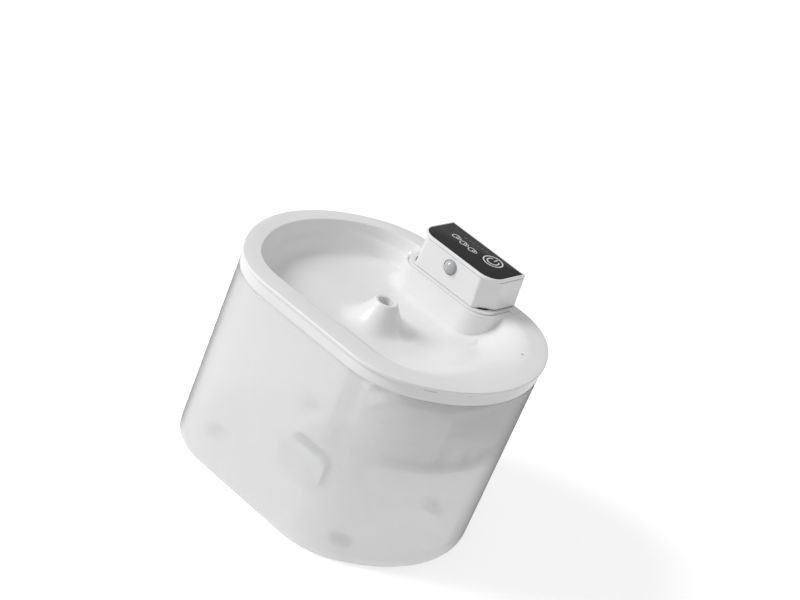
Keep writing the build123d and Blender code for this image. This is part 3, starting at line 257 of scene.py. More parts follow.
def surface(height, rings, grid, step, outer, holes):
    """A triangulated height field inside an outer loop, with loops cut out of it.

    rings are loops of places that the mesh has to follow. grid says whether a place of the
    regular grid is wanted.
    """
    places, edges = [], []
    for loop in [outer, *holes]:
        base = len(places)
        places += loop
        edges += [(base + k, base + (k + 1) % len(loop)) for k in range(len(loop))]
    for loop in rings:
        places += loop
    reach, tenths = 110, 10
    span = range(-reach * tenths, reach * tenths, int(step * tenths))
    across = np.array([(x / tenths, y / tenths) for x in span for y in span])
    places += [tuple(p) for p in across[grid(across[:, 0], across[:, 1])]]
    flat, _, faces, *_ = delaunay_2d_cdt([Vector(p) for p in places], edges, [], 0, 0.001)
    xy = np.array([tuple(p) for p in flat])
    faces = np.array([f for f in faces if len(f) == 3])
    middle = xy[faces].mean(axis=1)
    keep = inside_loop(middle, outer)
    for hole in holes:
        keep &= ~inside_loop(middle, hole)
    points = np.column_stack([xy, height(xy[:, 0], xy[:, 1])])
    return points.tolist(), faces[keep].tolist()


def inside_loop(places, loop):
    """Whether each place lies inside a closed loop."""
    x, y = places[:, 0], places[:, 1]
    result = np.zeros(len(places), bool)
    for (x1, y1), (x2, y2) in zip(loop, loop[1:] + loop[:1]):
        crosses = (y1 > y) != (y2 > y)
        if y1 != y2:
            result ^= crosses & (x < (x2 - x1) * (y - y1) / (y2 - y1) + x1)
    return result


def cut_boxes(piece, boxes, sharp, overlaps=False):
    """Takes boxes out of a piece: each has a centre, a size and a turn about Z, in millimetres."""
    cutters = bmesh.new()
    for centre, size, turn in boxes:
        place = Matrix.Translation(Vector(centre) * MM) @ Matrix.Rotation(turn, 4, "Z")
        bmesh.ops.create_cube(cutters, size=MM, matrix=place @ Matrix.Diagonal((*size, 1)))
    mesh = bpy.data.meshes.new("cutters")
    cutters.to_mesh(mesh)
    cutters.free()
    cutter = bpy.data.objects.new("cutters", mesh)
    scene.collection.objects.link(cutter)
    modifier = piece.modifiers.new("cut", "BOOLEAN")
    modifier.operation = "DIFFERENCE"
    modifier.object = cutter
    modifier.solver = "EXACT"
    modifier.use_self = overlaps
    bpy.context.view_layer.update()
    evaluated = piece.evaluated_get(bpy.context.evaluated_depsgraph_get())
    cut = bpy.data.meshes.new_from_object(evaluated)
    piece.modifiers.clear()
    piece.data = cut
    shade(piece, sharp)
    bpy.data.objects.remove(cutter)


# ---------------------------------------------------------------- materials
def fill(tree, node, inputs):
    """Gives a node's inputs their values, or links sockets into them."""
    for name, value in inputs.items():
        if isinstance(value, bpy.types.NodeSocket):
            tree.links.new(value, node.inputs[name])
        else:
            node.inputs[name].default_value = value
    return node


def add(tree, kind, inputs):
    """A new shader node with its inputs."""
    return fill(tree, tree.nodes.new("ShaderNode" + kind), inputs)


def new_material(name):
    material = bpy.data.materials.new(name)
    material.use_nodes = True
    tree = material.node_tree
    return material, tree, tree.nodes["Principled BSDF"]


def object_space(tree):
    return add(tree, "TexCoord", {}).outputs["Object"]


def noise(tree, scale, detail, stretch=None):
    """A noise texture in the object's own space. scale is in waves per metre."""
    where = object_space(tree)
    if stretch:
        where = add(tree, "Mapping", {"Vector": where, "Scale": stretch}).outputs["Vector"]
    inputs = {"Vector": where, "Scale": scale, "Detail": detail, "Roughness": 0.55}
    return add(tree, "TexNoise", inputs).outputs["Fac"]


def ramp(tree, value, stops):
    """Colours a value. stops are two (place, colour) pairs."""
    node = add(tree, "ValToRGB", {"Fac": value})
    for element, (place, colour) in zip(node.color_ramp.elements, stops):
        element.position = place
        element.color = (*colour, 1)
    return node.outputs["Color"]


def spread(tree, value, low, high):
    """Maps a value from 0..1 to low..high."""
    return add(tree, "MapRange", {"To Min": low, "To Max": high, "Value": value}).outputs["Result"]


def bump(tree, shader, heights):
    """Chains bumps. heights are (value, strength, distance in mm)."""
    normal = None
    for value, strength, distance in heights:
        node = add(tree, "Bump", {"Strength": strength, "Distance": distance * MM, "Height": value})
        if normal:
            tree.links.new(normal, node.inputs["Normal"])
        normal = node.outputs["Normal"]
    tree.links.new(normal, shader.inputs["Normal"])


def mix(tree, share, first, second):
    """Mixes two shaders. share is a number or a socket, and at 1 only the second shows."""
    return add(tree, "MixShader", {"Fac": share, 1: first, 2: second}).outputs["Shader"]


def tint(colour, factor):
    return tuple(min(1.0, c * factor) for c in colour)


def plastic(
    name, colour, rough=0.35, grain=2600, grain_depth=0.01, wander=0.03, coat=0.0, specular=0.5, patch=28
):
    """Moulded plastic: fine grain, slow waviness and a slight unevenness of colour and gloss.

    patch is how fine the unevenness of colour is, in waves per metre.
    """
    material, tree, shader = new_material(name)
    slow = noise(tree, patch, 2)
    fine = noise(tree, grain, 4)
    stops = [(0.3, tint(colour, 1 - wander)), (0.7, tint(colour, 1 + wander / 3))]
    fill(tree, shader, {
        "Base Color": ramp(tree, slow, stops),
        "Roughness": spread(tree, noise(tree, 160, 3), rough - 0.05, rough + 0.06),
        "Specular IOR Level": specular,
        "Coat Weight": coat,
        "Coat Roughness": 0.08,
    })
    bump(tree, shader, [(slow, 0.12, 0.2), (fine, 0.25, grain_depth)])
    return material


def frosted(name, colour, clear, haze, rough, painted_edge_shade, grain=1500):
    """Translucent plastic, with painted shade darkening it towards its silhouette.

    clear is the share that is seen through, and haze the share of the rest that glows through.
    """
    material, tree, shader = new_material(name)
    slow = noise(tree, 22, 2)
    fine = noise(tree, grain, 3)
    facing = add(tree, "LayerWeight", {"Blend": 0.28}).outputs["Facing"]
    # The colour darkens towards the silhouette: painted edge shade, carried into the glow and the
    # see-through share too.
    body = ramp(tree, facing, [(0.46, colour), (0.94, painted_edge_shade)])
    smear = spread(tree, noise(tree, 120, 3), rough - 0.04, rough + 0.05)
    fill(tree, shader, {"Base Color": body, "Roughness": smear})
    bump(tree, shader, [(slow, 0.2, 0.25), (fine, 0.3, 0.012)])
    glow = add(tree, "BsdfTranslucent", {"Color": body}).outputs["BSDF"]
    glass = add(tree, "BsdfRefraction", {"Color": body, "Roughness": rough, "IOR": 1.06}).outputs["BSDF"]
    milky = mix(tree, haze, shader.outputs["BSDF"], glow)
    fill(tree, tree.nodes["Material Output"], {"Surface": mix(tree, clear, milky, glass)})
    return material


def clear_plastic(name, colour, density, edge, rough=0.04):
    """Clear thin-walled plastic: mostly see-through, with gloss and painted shade darkening its edges."""
    material, tree, shader = new_material(name)
    facing = add(tree, "LayerWeight", {"Blend": 0.35}).outputs["Facing"]
    slow = noise(tree, 60, 2)
    # edge scales the colour at the silhouette: painted edge shade.
    body = ramp(tree, facing, [(0.6, colour), (0.97, tint(colour, edge))])
    smear = spread(tree, noise(tree, 300, 3), rough, rough + 0.06)
    fill(tree, shader, {"Base Color": body, "Roughness": smear})
    bump(tree, shader, [(slow, 0.15, 0.15)])
    see_through = add(tree, "BsdfTransparent", {"Color": (0.99, 0.99, 0.992, 1)}).outputs["BSDF"]
    share = spread(tree, facing, density, min(1.0, density + 0.55))
    both = mix(tree, share, see_through, shader.outputs["BSDF"])
    fill(tree, tree.nodes["Material Output"], {"Surface": both})
    return material


def metal(name, colour, rough, grain=900, wrap=0.0):
    """Drawn or wound metal: fine lines one way. wrap is the depth of wound wire in mm."""
    material, tree, shader = new_material(name)
    lines = noise(tree, grain, 2, stretch=(1, 1, 12))
    fill(tree, shader, {
        "Base Color": ramp(tree, lines, [(0.3, tint(colour, 0.8)), (0.7, colour)]),
        "Roughness": spread(tree, lines, rough - 0.06, rough + 0.08),
        "Metallic": 1.0,
    })
    bump(tree, shader, [(lines, 0.3, 0.02 + wrap)])
    return material


def foam(name, colour):
    """Open-cell foam: dark pores between pale-edged cells."""
    material, tree, shader = new_material(name)
    pores = add(tree, "TexVoronoi", {"Vector": object_space(tree), "Scale": 1500}).outputs["Distance"]
    fill(tree, shader, {
        "Base Color": ramp(tree, pores, [(0.1, tint(colour, 0.3)), (0.75, tint(colour, 1.6))]),
        "Roughness": 0.95,
        "Specular IOR Level": 0.04,
    })
    bump(tree, shader, [(pores, 0.9, 0.35)])
    return material


def board(name):
    """Circuit board: green lacquer over fine copper tracks."""
    material, tree, shader = new_material(name)
    tracks = add(tree, "TexBrick", {
        "Vector": object_space(tree),
        "Scale": 260,
        "Color1": (0.02, 0.17, 0.08, 1),
        "Color2": (0.025, 0.20, 0.09, 1),
        "Mortar": (0.05, 0.30, 0.14, 1),
    })
    fill(tree, shader, {"Base Color": tracks.outputs["Color"], "Roughness": 0.35})
    bump(tree, shader, [(tracks.outputs["Fac"], 0.4, 0.03)])
    return material


def grey(value):
    return (value, value, value)


LOOKS = {
    "white_gloss": (plastic, dict(colour=(0.85, 0.85, 0.852), rough=0.34, coat=0.15)),
    "white_matte": (plastic, dict(colour=(0.80, 0.805, 0.81), rough=0.6)),
    # The last colour of each frosted look is painted shade at its silhouette.
    "frosted_clear": (frosted, dict(
        colour=grey(0.985), clear=0.48, haze=0.5, rough=0.36, painted_edge_shade=(0.3, 0.3, 0.305))),
    "panel_black": (plastic, dict(
        colour=(0.024, 0.024, 0.026), rough=0.25, grain_depth=0.003, wander=0.2, specular=0.1)),
    "lens_pearl": (plastic, dict(colour=(0.50, 0.505, 0.515), rough=0.14, grain_depth=0.002, coat=0.6)),
    "grey_plastic": (plastic, dict(colour=(0.30, 0.305, 0.31), rough=0.5)),
    "foam_black": (foam, dict(colour=grey(0.005))),
    "grille_plastic": (plastic, dict(colour=(0.86, 0.865, 0.87))),
    # The edge factors of the clear looks set their painted shade at the silhouette.
    "clear_tube": (clear_plastic, dict(colour=(0.95, 0.95, 0.952), density=0.05, edge=0.35)),
    "milky_tube": (frosted, dict(
        colour=grey(0.99), clear=0.8, haze=0.5, rough=0.24, painted_edge_shade=grey(0.82), grain=500)),
    "clear_tray": (clear_plastic, dict(colour=(0.93, 0.932, 0.935), density=0.55, rough=0.1, edge=0.85)),
    "film_white": (frosted, dict(
        colour=(0.975, 0.965, 0.965), clear=0.5, haze=0.45, rough=0.16, painted_edge_shade=(0.93, 0.92, 0.92),
        grain=5200)),
    "resin_orange": (plastic, dict(
        colour=(1.0, 0.15, 0.002), rough=0.5, wander=0.3, specular=0.1, patch=900)),
    "carbon_black": (plastic, dict(
        colour=grey(0.004), rough=0.8, grain=5000, grain_depth=0.06, wander=0.4, specular=0.06, patch=900)),
    "rubber_pale": (plastic, dict(colour=(0.52, 0.53, 0.55), rough=0.75)),
    "rubber_dark": (plastic, dict(colour=grey(0.02), rough=0.8)),
    "board_green": (board, {}),
    "steel": (metal, dict(colour=(0.62, 0.62, 0.64), rough=0.28)),
    "copper": (metal, dict(colour=(0.72, 0.33, 0.14), rough=0.32, grain=2200, wrap=0.12)),
    "ferrite": (plastic, dict(
        colour=(0.035, 0.035, 0.038), rough=0.65, grain=1800, grain_depth=0.03, wander=0.2)),
    "cell_wrap": (plastic, dict(colour=(0.02, 0.09, 0.28), rough=0.3, coat=0.3)),
    "panel_print": (plastic, dict(colour=grey(0.78), rough=0.5)),
    "panel_print_dim": (plastic, dict(colour=grey(0.12), rough=0.5)),
}
MATERIALS = {name: make(name, **values) for name, (make, values) in LOOKS.items()}
# The holder's last colour, grey 0.88, is its painted edge shade.
OWN_LOOKS = {"filter_holder": frosted("holder_milky", grey(0.985), 0.2, 0.5, 0.4, grey(0.88))}

slot_of = {part["node"]: part["material_slot"] for part in frame["record"]["subparts"]}
for node, piece in frame["nodes"].items():
    piece.data.materials.clear()
    piece.data.materials.append(OWN_LOOKS.get(node, MATERIALS[slot_of[node]]))


# ---------------------------------------------------------------- tank
def make_tank():
    rim = Oval(*TANK_RIM)
    base_z, floor_z = tank_low.z, tank_low.z + 2.6
    base_fillet, inner_fillet = 2.5, 1.5

    def outer(z):
        return -TANK_DRAFT * (RIM_Z - z) / (RIM_Z - base_z)

    def fillet(radius):
        """A quarter round, as (inward, upward) steps from its side to its foot."""
        angles = [pi / 2 * k / 6 for k in range(7)]
        return [(radius * (1 - sin(angle)), radius * (1 - cos(angle))) for angle in angles]

    profile = [(outer(base_z) - inward, base_z + upward) for inward, upward in fillet(base_fillet)]
    profile += [(outer(z), z) for z in np.linspace(base_z + 8, RIM_Z - 0.7, 22)]
    profile += [(-0.05, RIM_Z - 0.45), (-0.2, RIM_Z - 0.15), (-0.5, RIM_Z), (-TANK_WALL + 0.5, RIM_Z)]
    profile += [(-TANK_WALL + 0.2, RIM_Z - 0.15), (-TANK_WALL + 0.05, RIM_Z - 0.45)]
    profile += [(outer(z) - TANK_WALL, z) for z in np.linspace(RIM_Z - 0.7, floor_z + 6, 22)]
    wall = outer(floor_z) - TANK_WALL
    profile += [(wall - inward, floor_z + upward) for upward, inward in fillet(inner_fillet)]
    build = Build()
    build.solid([at_height(rim.loop(LOOP_POINTS, offset), z) for offset, z in profile])

    # The crescent shelf that carries the filter holder, in the right-hand end
    shelf_x, shelf_low, shelf_high, shelf_width, shelf_steps = 60.0, 72.7, 74.7, 9.0, 90
    inside = outer(shelf_high) - TANK_WALL

    def shelf_edge(offset):
        """Places along the wall beyond the shelf's ends, in order of their angle."""
        edge = [p for p in rim.loop(LOOP_POINTS, offset) if p[0] > shelf_x]
        edge.sort(key=lambda p: atan2(p[1], p[0]))
        return [edge[round(k * (len(edge) - 1) / shelf_steps)] for k in range(shelf_steps + 1)]

    build.solid([
        [(bx, by, shelf_low), (ix, iy, shelf_low), (ix, iy, shelf_high), (bx, by, shelf_high)]
        for (bx, by), (ix, iy) in zip(shelf_edge(inside + 0.4), shelf_edge(inside - shelf_width))
    ])
    build.finish("tank_shell", "tank", ["frosted_clear"], ["tank"])


# ---------------------------------------------------------------- dish
BASIN_OVAL = Oval(*BASIN)
LIP_OVAL = Oval(*LIP)
SPOUT_RADIUS, SPOUT_BORE, SPOUT_BELOW_RIM = 7.4, 5.0, 1.0
SPOUT_FOOT = 27.0
SKIRT_END_X = 74.0
COLLAR_BACK_DEPTH = 8.0
SOFT_RUN = 31.0
BORE_STEPS = 72

# How far the mesh's rings lie inside the basin's edge, outside the collar and from the spout
BASIN_RINGS = (
    -5.5, -2.5, -0.8, -0.2, 0.1, 0.4, 0.8, 1.2, 1.7, 2.3, 3.0, 3.8, 4.7, 5.6, 6.5, 7.5, 8.6, 9.8, 11.1,
    12.5, 14.0,
)
COLLAR_RINGS = (0.7, 1.3, 1.5, 1.7, 1.9, 2.1, 2.3, 2.6, 2.9, 3.3, 3.9, 4.6, 5.5, 6.6, 7.9)
SPOUT_RINGS = (
    5.3, 5.6, 5.9, 6.3, 6.7, 6.95, 7.2, 7.4, 7.7, 8.1, 8.6, 9.2, 9.9, 10.7, 11.6, 12.6, 13.8, 15.1,
    16.5, 18.1, 19.9, 21.9, 24.0, 26.2,
)


def from_spout(x, y):
    return np.hypot(x, y - SPOUT_Y)


def spout_circle(radius, count=BORE_STEPS):
    return circle(radius, count, 0, SPOUT_Y)


def collar_loop(offset):
    return d_loop(**COLLAR, offset=offset, corner_steps=20, line_steps=44)


def basin_depth(x, y):
    """How deep the basin is under the rim, without the collar and the spout."""
    s = BASIN_OVAL.inward(x, y)
    far = 8.5 * ease((s + 0.1) / 1.7) + 9.5 * ease((s - 2.2) / 5.4)
    left = 7.0 * ease(s / 5.6) + 11.0 * ease((s - 6.2) / 7.4)
    left_share = 1 - ease((x + 92) / 34)
    crisp = far * (1 - left_share) + left * left_share
    fade_start = -14 + 16 * np.tanh(y / 18)
    crisp_share = 1 - ease((x - fade_start) / 46)
    soft = BASIN_DEPTH * ease(s / SOFT_RUN)
    depth = crisp * crisp_share + soft * (1 - crisp_share)
    return depth * (1 - 0.72 * ease((x - 30) / 56))


def collar_share(x, y):
    """0 on top of the collar's wall, 1 away from it, with a fillet at its foot."""
    gap = outside_d(x, y, **COLLAR)
    wall = ease((gap - 1.45) / 1.5)
    foot = 1 - (1 - np.clip((gap - 2.2) / 6.5, 0, 1)) ** 2
    return 0.86 * wall + 0.14 * foot * wall


def spout_height(x, y):
    """How high the spout's cone stands over the basin's floor."""
    r = from_spout(x, y)
    angle = np.arctan2(y - SPOUT_Y, x)
    steep = np.exp(-(((angle + 0.35) / 0.75) ** 2))
    foot = SPOUT_FOOT * (1 - 0.26 * steep)
    t = np.clip((r - SPOUT_RADIUS) / (foot - SPOUT_RADIUS), 0, 1)
    full = BASIN_DEPTH - SPOUT_BELOW_RIM
    rib = np.exp(-(((angle - 0.12) * r / 1.5) ** 2)) * ease((r - SPOUT_RADIUS) / 1.5) * (1 - t) ** 0.6
    return full * (1 - t) ** 2.3 + 1.5 * rib * (t > 0)


def dish_top(x, y):
    r = from_spout(x, y)
    bore_edge = 0.5 * ease((SPOUT_BORE + 0.9 - r) / 0.8)
    outer_edge = 0.45 * ease((r - SPOUT_RADIUS + 0.5) / 0.7) * (r < SPOUT_RADIUS + 0.25)
    mouth = bore_edge + outer_edge
    return TOP_Z - basin_depth(x, y) * collar_share(x, y) + spout_height(x, y) - mouth


def dish_under(x, y):
    gap = outside_d(x, y, **COLLAR)
    rise = ease((y - 64) / 10)
    wall_depth = BASIN_DEPTH * (1 - rise) + COLLAR_BACK_DEPTH * rise
    depth = np.where(gap < COLLAR_WALL + 0.05, wall_depth, basin_depth(x, y))
    return TOP_Z - depth - DISH_THICKNESS + spout_height(x, y) * (from_spout(x, y) > 9)


def skirt_height(z):
    """The skirt stops at the right-hand end, over the filter cartridge."""
    return lambda x, y: np.where(x < SKIRT_END_X, z, max(z, RIM_Z))


def ring_fits(places, keep):
    """Keeps the places of a loop at which keep says so."""
    x, y = np.array([p[0] for p in places]), np.array([p[1] for p in places])
    return [p for p, wanted in zip(places, keep(x, y)) if wanted]


def make_dish():
    build = Build()
    lip_edge = 0.7
    band, skirt, skirt_wall, skirt_drop, lip = -BAND_INSET, -3.8, 1.6, 1.4, 2.2
    collar_zone, spout_zone, floor_zone = 9.5, SPOUT_FOOT + 1, 15.5
    top_step, under_step = 2.0, 3.0

    def away(x, y):
        near_collar = outside_d(x, y, **COLLAR) < collar_zone
        return ~near_collar & ~(from_spout(x, y) < spout_zone)

    def off_rim(x, y):
        return LIP_OVAL.inward(x, y) > lip_edge + 0.8

    def open_floor(x, y):
        return away(x, y) & (BASIN_OVAL.inward(x, y) > floor_zone)

    bore = spout_circle(SPOUT_BORE)
    stub = spout_circle(8.45)
    well = d_loop(**COLLAR)
    drain = circle(1.2, 20, 74.0, 40.0)
    outer = LIP_OVAL.loop(LOOP_POINTS, -lip_edge)

    basin_loops = [BASIN_OVAL.loop(LOOP_POINTS if s < 8 else 300, -s) for s in BASIN_RINGS]
    basin_rings = [ring_fits(loop, lambda x, y: away(x, y) & off_rim(x, y)) for loop in basin_loops]
    collar_rings = [
        ring_fits(collar_loop(gap), lambda x, y: off_rim(x, y) & (from_spout(x, y) > spout_zone))
        for gap in COLLAR_RINGS
    ]
    spout_rings = [spout_circle(r, 144 if r > 7.3 else BORE_STEPS) for r in SPOUT_RINGS]
    rings = basin_rings + collar_rings + spout_rings
    build.patch(*surface(dish_top, rings, open_floor, top_step, outer, [well, bore, drain]))

    skirt_inner = LIP_OVAL.loop(LOOP_POINTS, skirt - skirt_wall)
    inside_skirt = LIP_OVAL.loop(LOOP_POINTS, skirt - skirt_wall - 0.5)
    under_rings = basin_rings[6::2] + collar_rings[3:13:2]
    under_rings += [spout_circle(r, 96) for r in (9.5, 11, 13, 16, 20, 24)]
    under_rings += [collar_loop(COLLAR_WALL + gap) for gap in (-0.02, 0.2)]
    kept = [
        ring_fits(ring, lambda x, y: inside_loop(np.column_stack([x, y]), inside_skirt))
        for ring in under_rings
    ]
    build.patch(*surface(dish_under, kept, open_floor, under_step, skirt_inner, [well, stub, drain]))

    # Outside of the lip, the band and the skirt
    turns = [pi / 8 * k for k in range(5)]
    profile = [(-lip_edge * (1 - sin(turn)), TOP_Z - lip_edge * (1 - cos(turn))) for turn in turns]
    lip_low = TOP_Z - lip
    profile += [(0, lip_low + 0.35), (-0.1, lip_low + 0.1), (-0.35, lip_low), (band, lip_low)]
    profile += [(band, z) for z in np.linspace(lip_low - 0.3, RIM_Z + 0.4, 6)]
    profile += [(band - 0.15, RIM_Z + 0.12), (band - 0.4, RIM_Z), (skirt, RIM_Z)]
    skirt_low, skirt_inside = RIM_Z - skirt_drop, skirt - skirt_wall
    profile += [(skirt, RIM_Z - 0.4), (skirt, skirt_low + 0.5), (skirt - 0.3, skirt_low)]
    profile += [(skirt_inside + 0.3, skirt_low), (skirt_inside, skirt_low + 0.5)]
    outside = [at_height(LIP_OVAL.loop(LOOP_POINTS, offset), skirt_height(z)) for offset, z in profile]
    build.loft(outside + [at_height(skirt_inner, dish_under)])

    # Inside of the collar, the spout's bore and the stub that takes the tube
    build.loft([at_height(well, dish_top), at_height(well, TOP_Z - 2), at_height(well, dish_under)])
    stub_low, seat = 110.2, 118.5
    tube_bore = spout_circle(6.65)
    build.loft([at_height(loop, z) for loop, z in (
        (bore, dish_top), (bore, TOP_Z - 3), (bore, seat), (tube_bore, seat),
        (tube_bore, stub_low), (stub, stub_low), (stub, dish_under),
    )])
    build.loft([at_height(drain, dish_top), at_height(drain, dish_under)])

    # Half-round bosses under the right-hand side, and the ledge that the head stands on
    boss_x, boss_y, boss_half, boss_bulge, boss_drop = 37.6, 33.5, 16.5, 7.5, 13.5
    boss_radius = (boss_bulge**2 + boss_half**2) / (2 * boss_bulge)
    boss_swing = asin(boss_half / boss_radius)
    boss_low = TOP_Z - BASIN_DEPTH - DISH_THICKNESS - boss_drop
    for middle_y in (-boss_y, boss_y):
        outline = [
            (boss_x + boss_bulge - boss_radius * (1 - cos(a)), middle_y + boss_radius * sin(a))
            for a in np.linspace(-boss_swing, boss_swing, 24)
        ]
        outline += [(boss_x, middle_y + boss_half - 2 * boss_half * k / 10) for k in range(11)]
        inset = [(x + (boss_x + 2 - x) * 0.05, y + (middle_y - y) * 0.03) for x, y in outline]
        build.solid([
            at_height(inset, boss_low), at_height(outline, boss_low + 0.5),
            at_height(outline, lambda x, y: dish_under(x, y) + 0.8),
        ])
    ledge_half, ledge_low, ledge_high = 18.0, 126.7, 128.3
    near, far = COLLAR["front"] - 0.9, COLLAR["front"] + 1.6
    ledge = [(-ledge_half, near), (ledge_half, near), (ledge_half, far), (-ledge_half, far)]
    build.solid([at_height(ledge, ledge_low), at_height(ledge, ledge_high)])

    cut_seam_slots(build.finish("dish_shell", "tray", ["white_gloss"], ["dish"], sharp=38))


def cut_seam_slots(dish):
    """Thin slots under the lip, and the overflow through the collar's wall."""
    end_radius = LIP[3]
    band_radius = end_radius - BAND_INSET
    slot_z, slot_depth, slot_height = TOP_Z - 2.85, 1.6, 0.9
    boxes = []
    for angle, length in ((35.2, 8.0), (19.5, 3.0)):
        for side in (-1, 1):
            turn = radians(side * angle)
            place = (LIP[0] - end_radius + band_radius * cos(turn), band_radius * sin(turn), slot_z)
            boxes.append((place, (slot_depth, length, slot_height), turn))
    overflow = ((-34.5, 52.4, 124.7), (7.8, 6.0, 5.0), 0)
    cut_boxes(dish, [*boxes, overflow], 38)


# ---------------------------------------------------------------- head
def faceted_loop(half_width, front, back, cut, soft, offset, line_steps=16, arc_steps=6):
    """A D outline whose front corners are flat facets between two soft edges."""
    wide, near, rear = half_width + offset, front - offset, back + offset
    across, along = cut[0] + offset * 0.41, cut[1] + offset * 0.41
    corners = [Vector(corner) for corner in (
        (-wide, rear), (-wide, near + along), (-wide + across, near),
        (wide - across, near), (wide, near + along), (wide, rear),
    )]
    bends = []
    for k, here in enumerate(corners):
        before, after = corners[k - 1], corners[(k + 1) % 6]
        reach = soft if 0 < k < 5 else 0.6
        start, end = (here + (other - here).normalized() * reach for other in (before, after))
        bends.append((start, here, end))
    places = []
    for k, (start, here, end) in enumerate(bends):
        for step in range(arc_steps + 1):
            t = step / arc_steps
            places.append(tuple(start * (1 - t) ** 2 + here * 2 * t * (1 - t) + end * t * t))
        target = bends[(k + 1) % 6][0]
        places += [tuple(end.lerp(target, step / line_steps)) for step in range(1, line_steps)]
    return places


def head_rings(profile):
    """Rings round the head's outline, from (offset, height) pairs."""
    return [at_height(d_loop(**HEAD, offset=offset), z) for offset, z in profile]


def make_head_shell():
    """The white housing: faceted corners, a shadow gap at its foot with painted shade in it, and a rounded
    rim round the panel.
    """
    build = Build()
    low, top = head_low.z, head_high.z
    foot_spread = 1.5

    def ring(offset, z):
        """The outline at one height: wider and with longer facets towards the foot."""
        share = (top - z) / (top - low)
        half = HEAD["half_width"] + foot_spread * share
        facet = (9.3 - 0.9 * share, 10.6 + 3.8 * share)
        return faceted_loop(half, HEAD["front"], HEAD["back"], facet, 1.3, offset)

    def above_gap(rise):
        """The foot stands clear of the flange at the sides, and all but meets it at the front."""
        return lambda x, y: low + rise * (0.3 + 0.7 * ease((y - 45) / 9))

    foot = [(-3.0, low), (-0.4, low), (-0.4, above_gap(1.0)), (-0.15, above_gap(1.05)), (0, above_gap(1.3))]
    wall = [
        (0, low + 6), (0, low + 12), (0, top - 2.7), (-0.2, top - 2.5), (-1.2, top - 2.5), (-1.2, top - 1.8),
    ]
    rings = [at_height(ring(offset, low), z) for offset, z in foot]
    rings += [at_height(ring(offset, z), z) for offset, z in wall]
    build.loft(rings[:2], cap_first=True)
    # The gap's faces take the grey look: painted shade in the shadow gap, where the head's seal also sits.
    build.loft(rings[1:3], slot=1)
    build.loft(rings[2:], cap_last=True)
    rim_low, hidden, border = top - 1.9, -2.6, -PANEL_BORDER
    build.loft(head_rings([
        (hidden, rim_low - 0.2), (-0.1, rim_low - 0.2), (0, rim_low), (0, top - 0.6), (-0.18, top - 0.18),
        (-0.6, top), (border + 0.15, top), (border, top - 0.15), (border, top - PANEL_THICK),
        (hidden, top - PANEL_THICK), (hidden, rim_low - 0.2),
    ]))
    looks = ["white_gloss", "grey_plastic"]
    cut_port_seat(build.finish("head_housing", "head", looks, ["head_shell"], sharp=30))


def cut_port_seat(shell):
    """The plug's recess in the back, and the hole that the charging port stands in."""
    plug_low, plug_high = node_box("port_plug")
    port_low, port_high = node_box("charging_port")
    gap, bite, through = 0.3, 0.1, 4.0
    seat_y = port_high.y - 0.05
    plug_size, port_size = plug_high - plug_low, port_high - port_low
    port_middle = (port_low + port_high) / 2
    seat = ((0, seat_y + through / 2, (plug_low.z + plug_high.z) / 2),
            (plug_size.x + 2 * gap, through, plug_size.z + 2 * gap), 0)
    mouth = ((0, port_middle.y, port_middle.z),
             (port_size.x - 2 * bite, port_size.y, port_size.z - 2 * bite), 0)
    cut_boxes(shell, [seat, mouth], 30, overlaps=True)


def make_panel():
    """The glossy touch panel with its printed rings and marks."""
    build = Build()
    top, print_rise, print_sink = head_high.z, 0.03, 0.05
    face = top - print_rise - 0.01
    build.solid(head_rings([
        (-PANEL_BORDER - 0.05, top - PANEL_THICK), (-PANEL_BORDER - 0.05, face - 0.2),
        (-PANEL_BORDER - 0.12, face - 0.05), (-PANEL_BORDER - 0.3, face),
    ]))
    low, high = face - print_sink, face + print_rise

    def arc(centre, radius, width, start=0.0, end=360.0, steps=64):
        closed = end - start >= 360
        near, far = radius - width / 2, radius + width / 2
        corners = [(near, low), (far, low), (far, high), (near, high)]
        section = []
        for k in range(steps + (0 if closed else 1)):
            a = radians(start + (end - start) * k / steps)
            section.append([(centre[0] + r * cos(a), centre[1] + r * sin(a), z) for r, z in corners])
        if closed:
            section.append(section[0])
        build.loft(section, cap_first=not closed, cap_last=not closed, slot=1)

    def bar(centre, length, width, angle, slot=1):
        along, across = Vector((cos(angle), sin(angle))), Vector((-sin(angle), cos(angle)))
        corners = [(-1, -1), (1, -1), (1, 1), (-1, 1)]
        flat = [Vector(centre) + along * (u * length / 2) + across * (v * width / 2) for u, v in corners]
        build.solid([at_height(flat, low), at_height(flat, high)], slot)

    power = (13.2, 67.0)
    arc(power, 6.5, 0.9)
    arc(power, 3.9, 0.9, 130, 410)
    bar((power[0], power[1] + 3.0), 4.0, 0.8, pi / 2)
    for x, y in ((-17.2, 64.2), (-9.6, 62.9), (-1.8, 62.4)):
        arc((x, y), 2.4, 0.6, steps=40)
        arc((x + 2.4, y + 0.1), 1.6, 0.5, steps=28)
    for k in range(6):
        bar((-13.5 + 3.3 * k, 70.0 + 0.5 * k), 1.5, 1.3, 0.4 * (k % 3), slot=2)
    looks = ["panel_black", "panel_print", "panel_print_dim"]
    build.finish("panel_glass", "head", looks, ["touch_panel"], merge=0.002)


def make_lens():
    """The sensor's pearly dome on a short plain neck."""
    build = Build()
    front = HEAD["front"]
    radius, reach, steps = 4.75, 3.55, 56
    ball = []
    for k in range(15):
        angle = radians(90 - 112 * k / 14)
        ball.append((radius * cos(angle), front - reach + radius - radius * sin(angle)))
    tip, last = ball[0], ball[-1]
    neck = [
        (last[0] + 0.05, last[1] + 0.15), (4.9, front - 0.75), (5.05, front - 0.5), (5.05, front + 0.3),
        (4.0, front + 2.6),
    ]
    profile = [(0.01, tip[1]), *ball[1:], *neck]
    build.solid([upright(circle(r, steps, 0, LENS_Z), y) for r, y in profile])
    build.finish("lens_dome", "head", ["lens_pearl"], ["sensor_lens"], sharp=50)


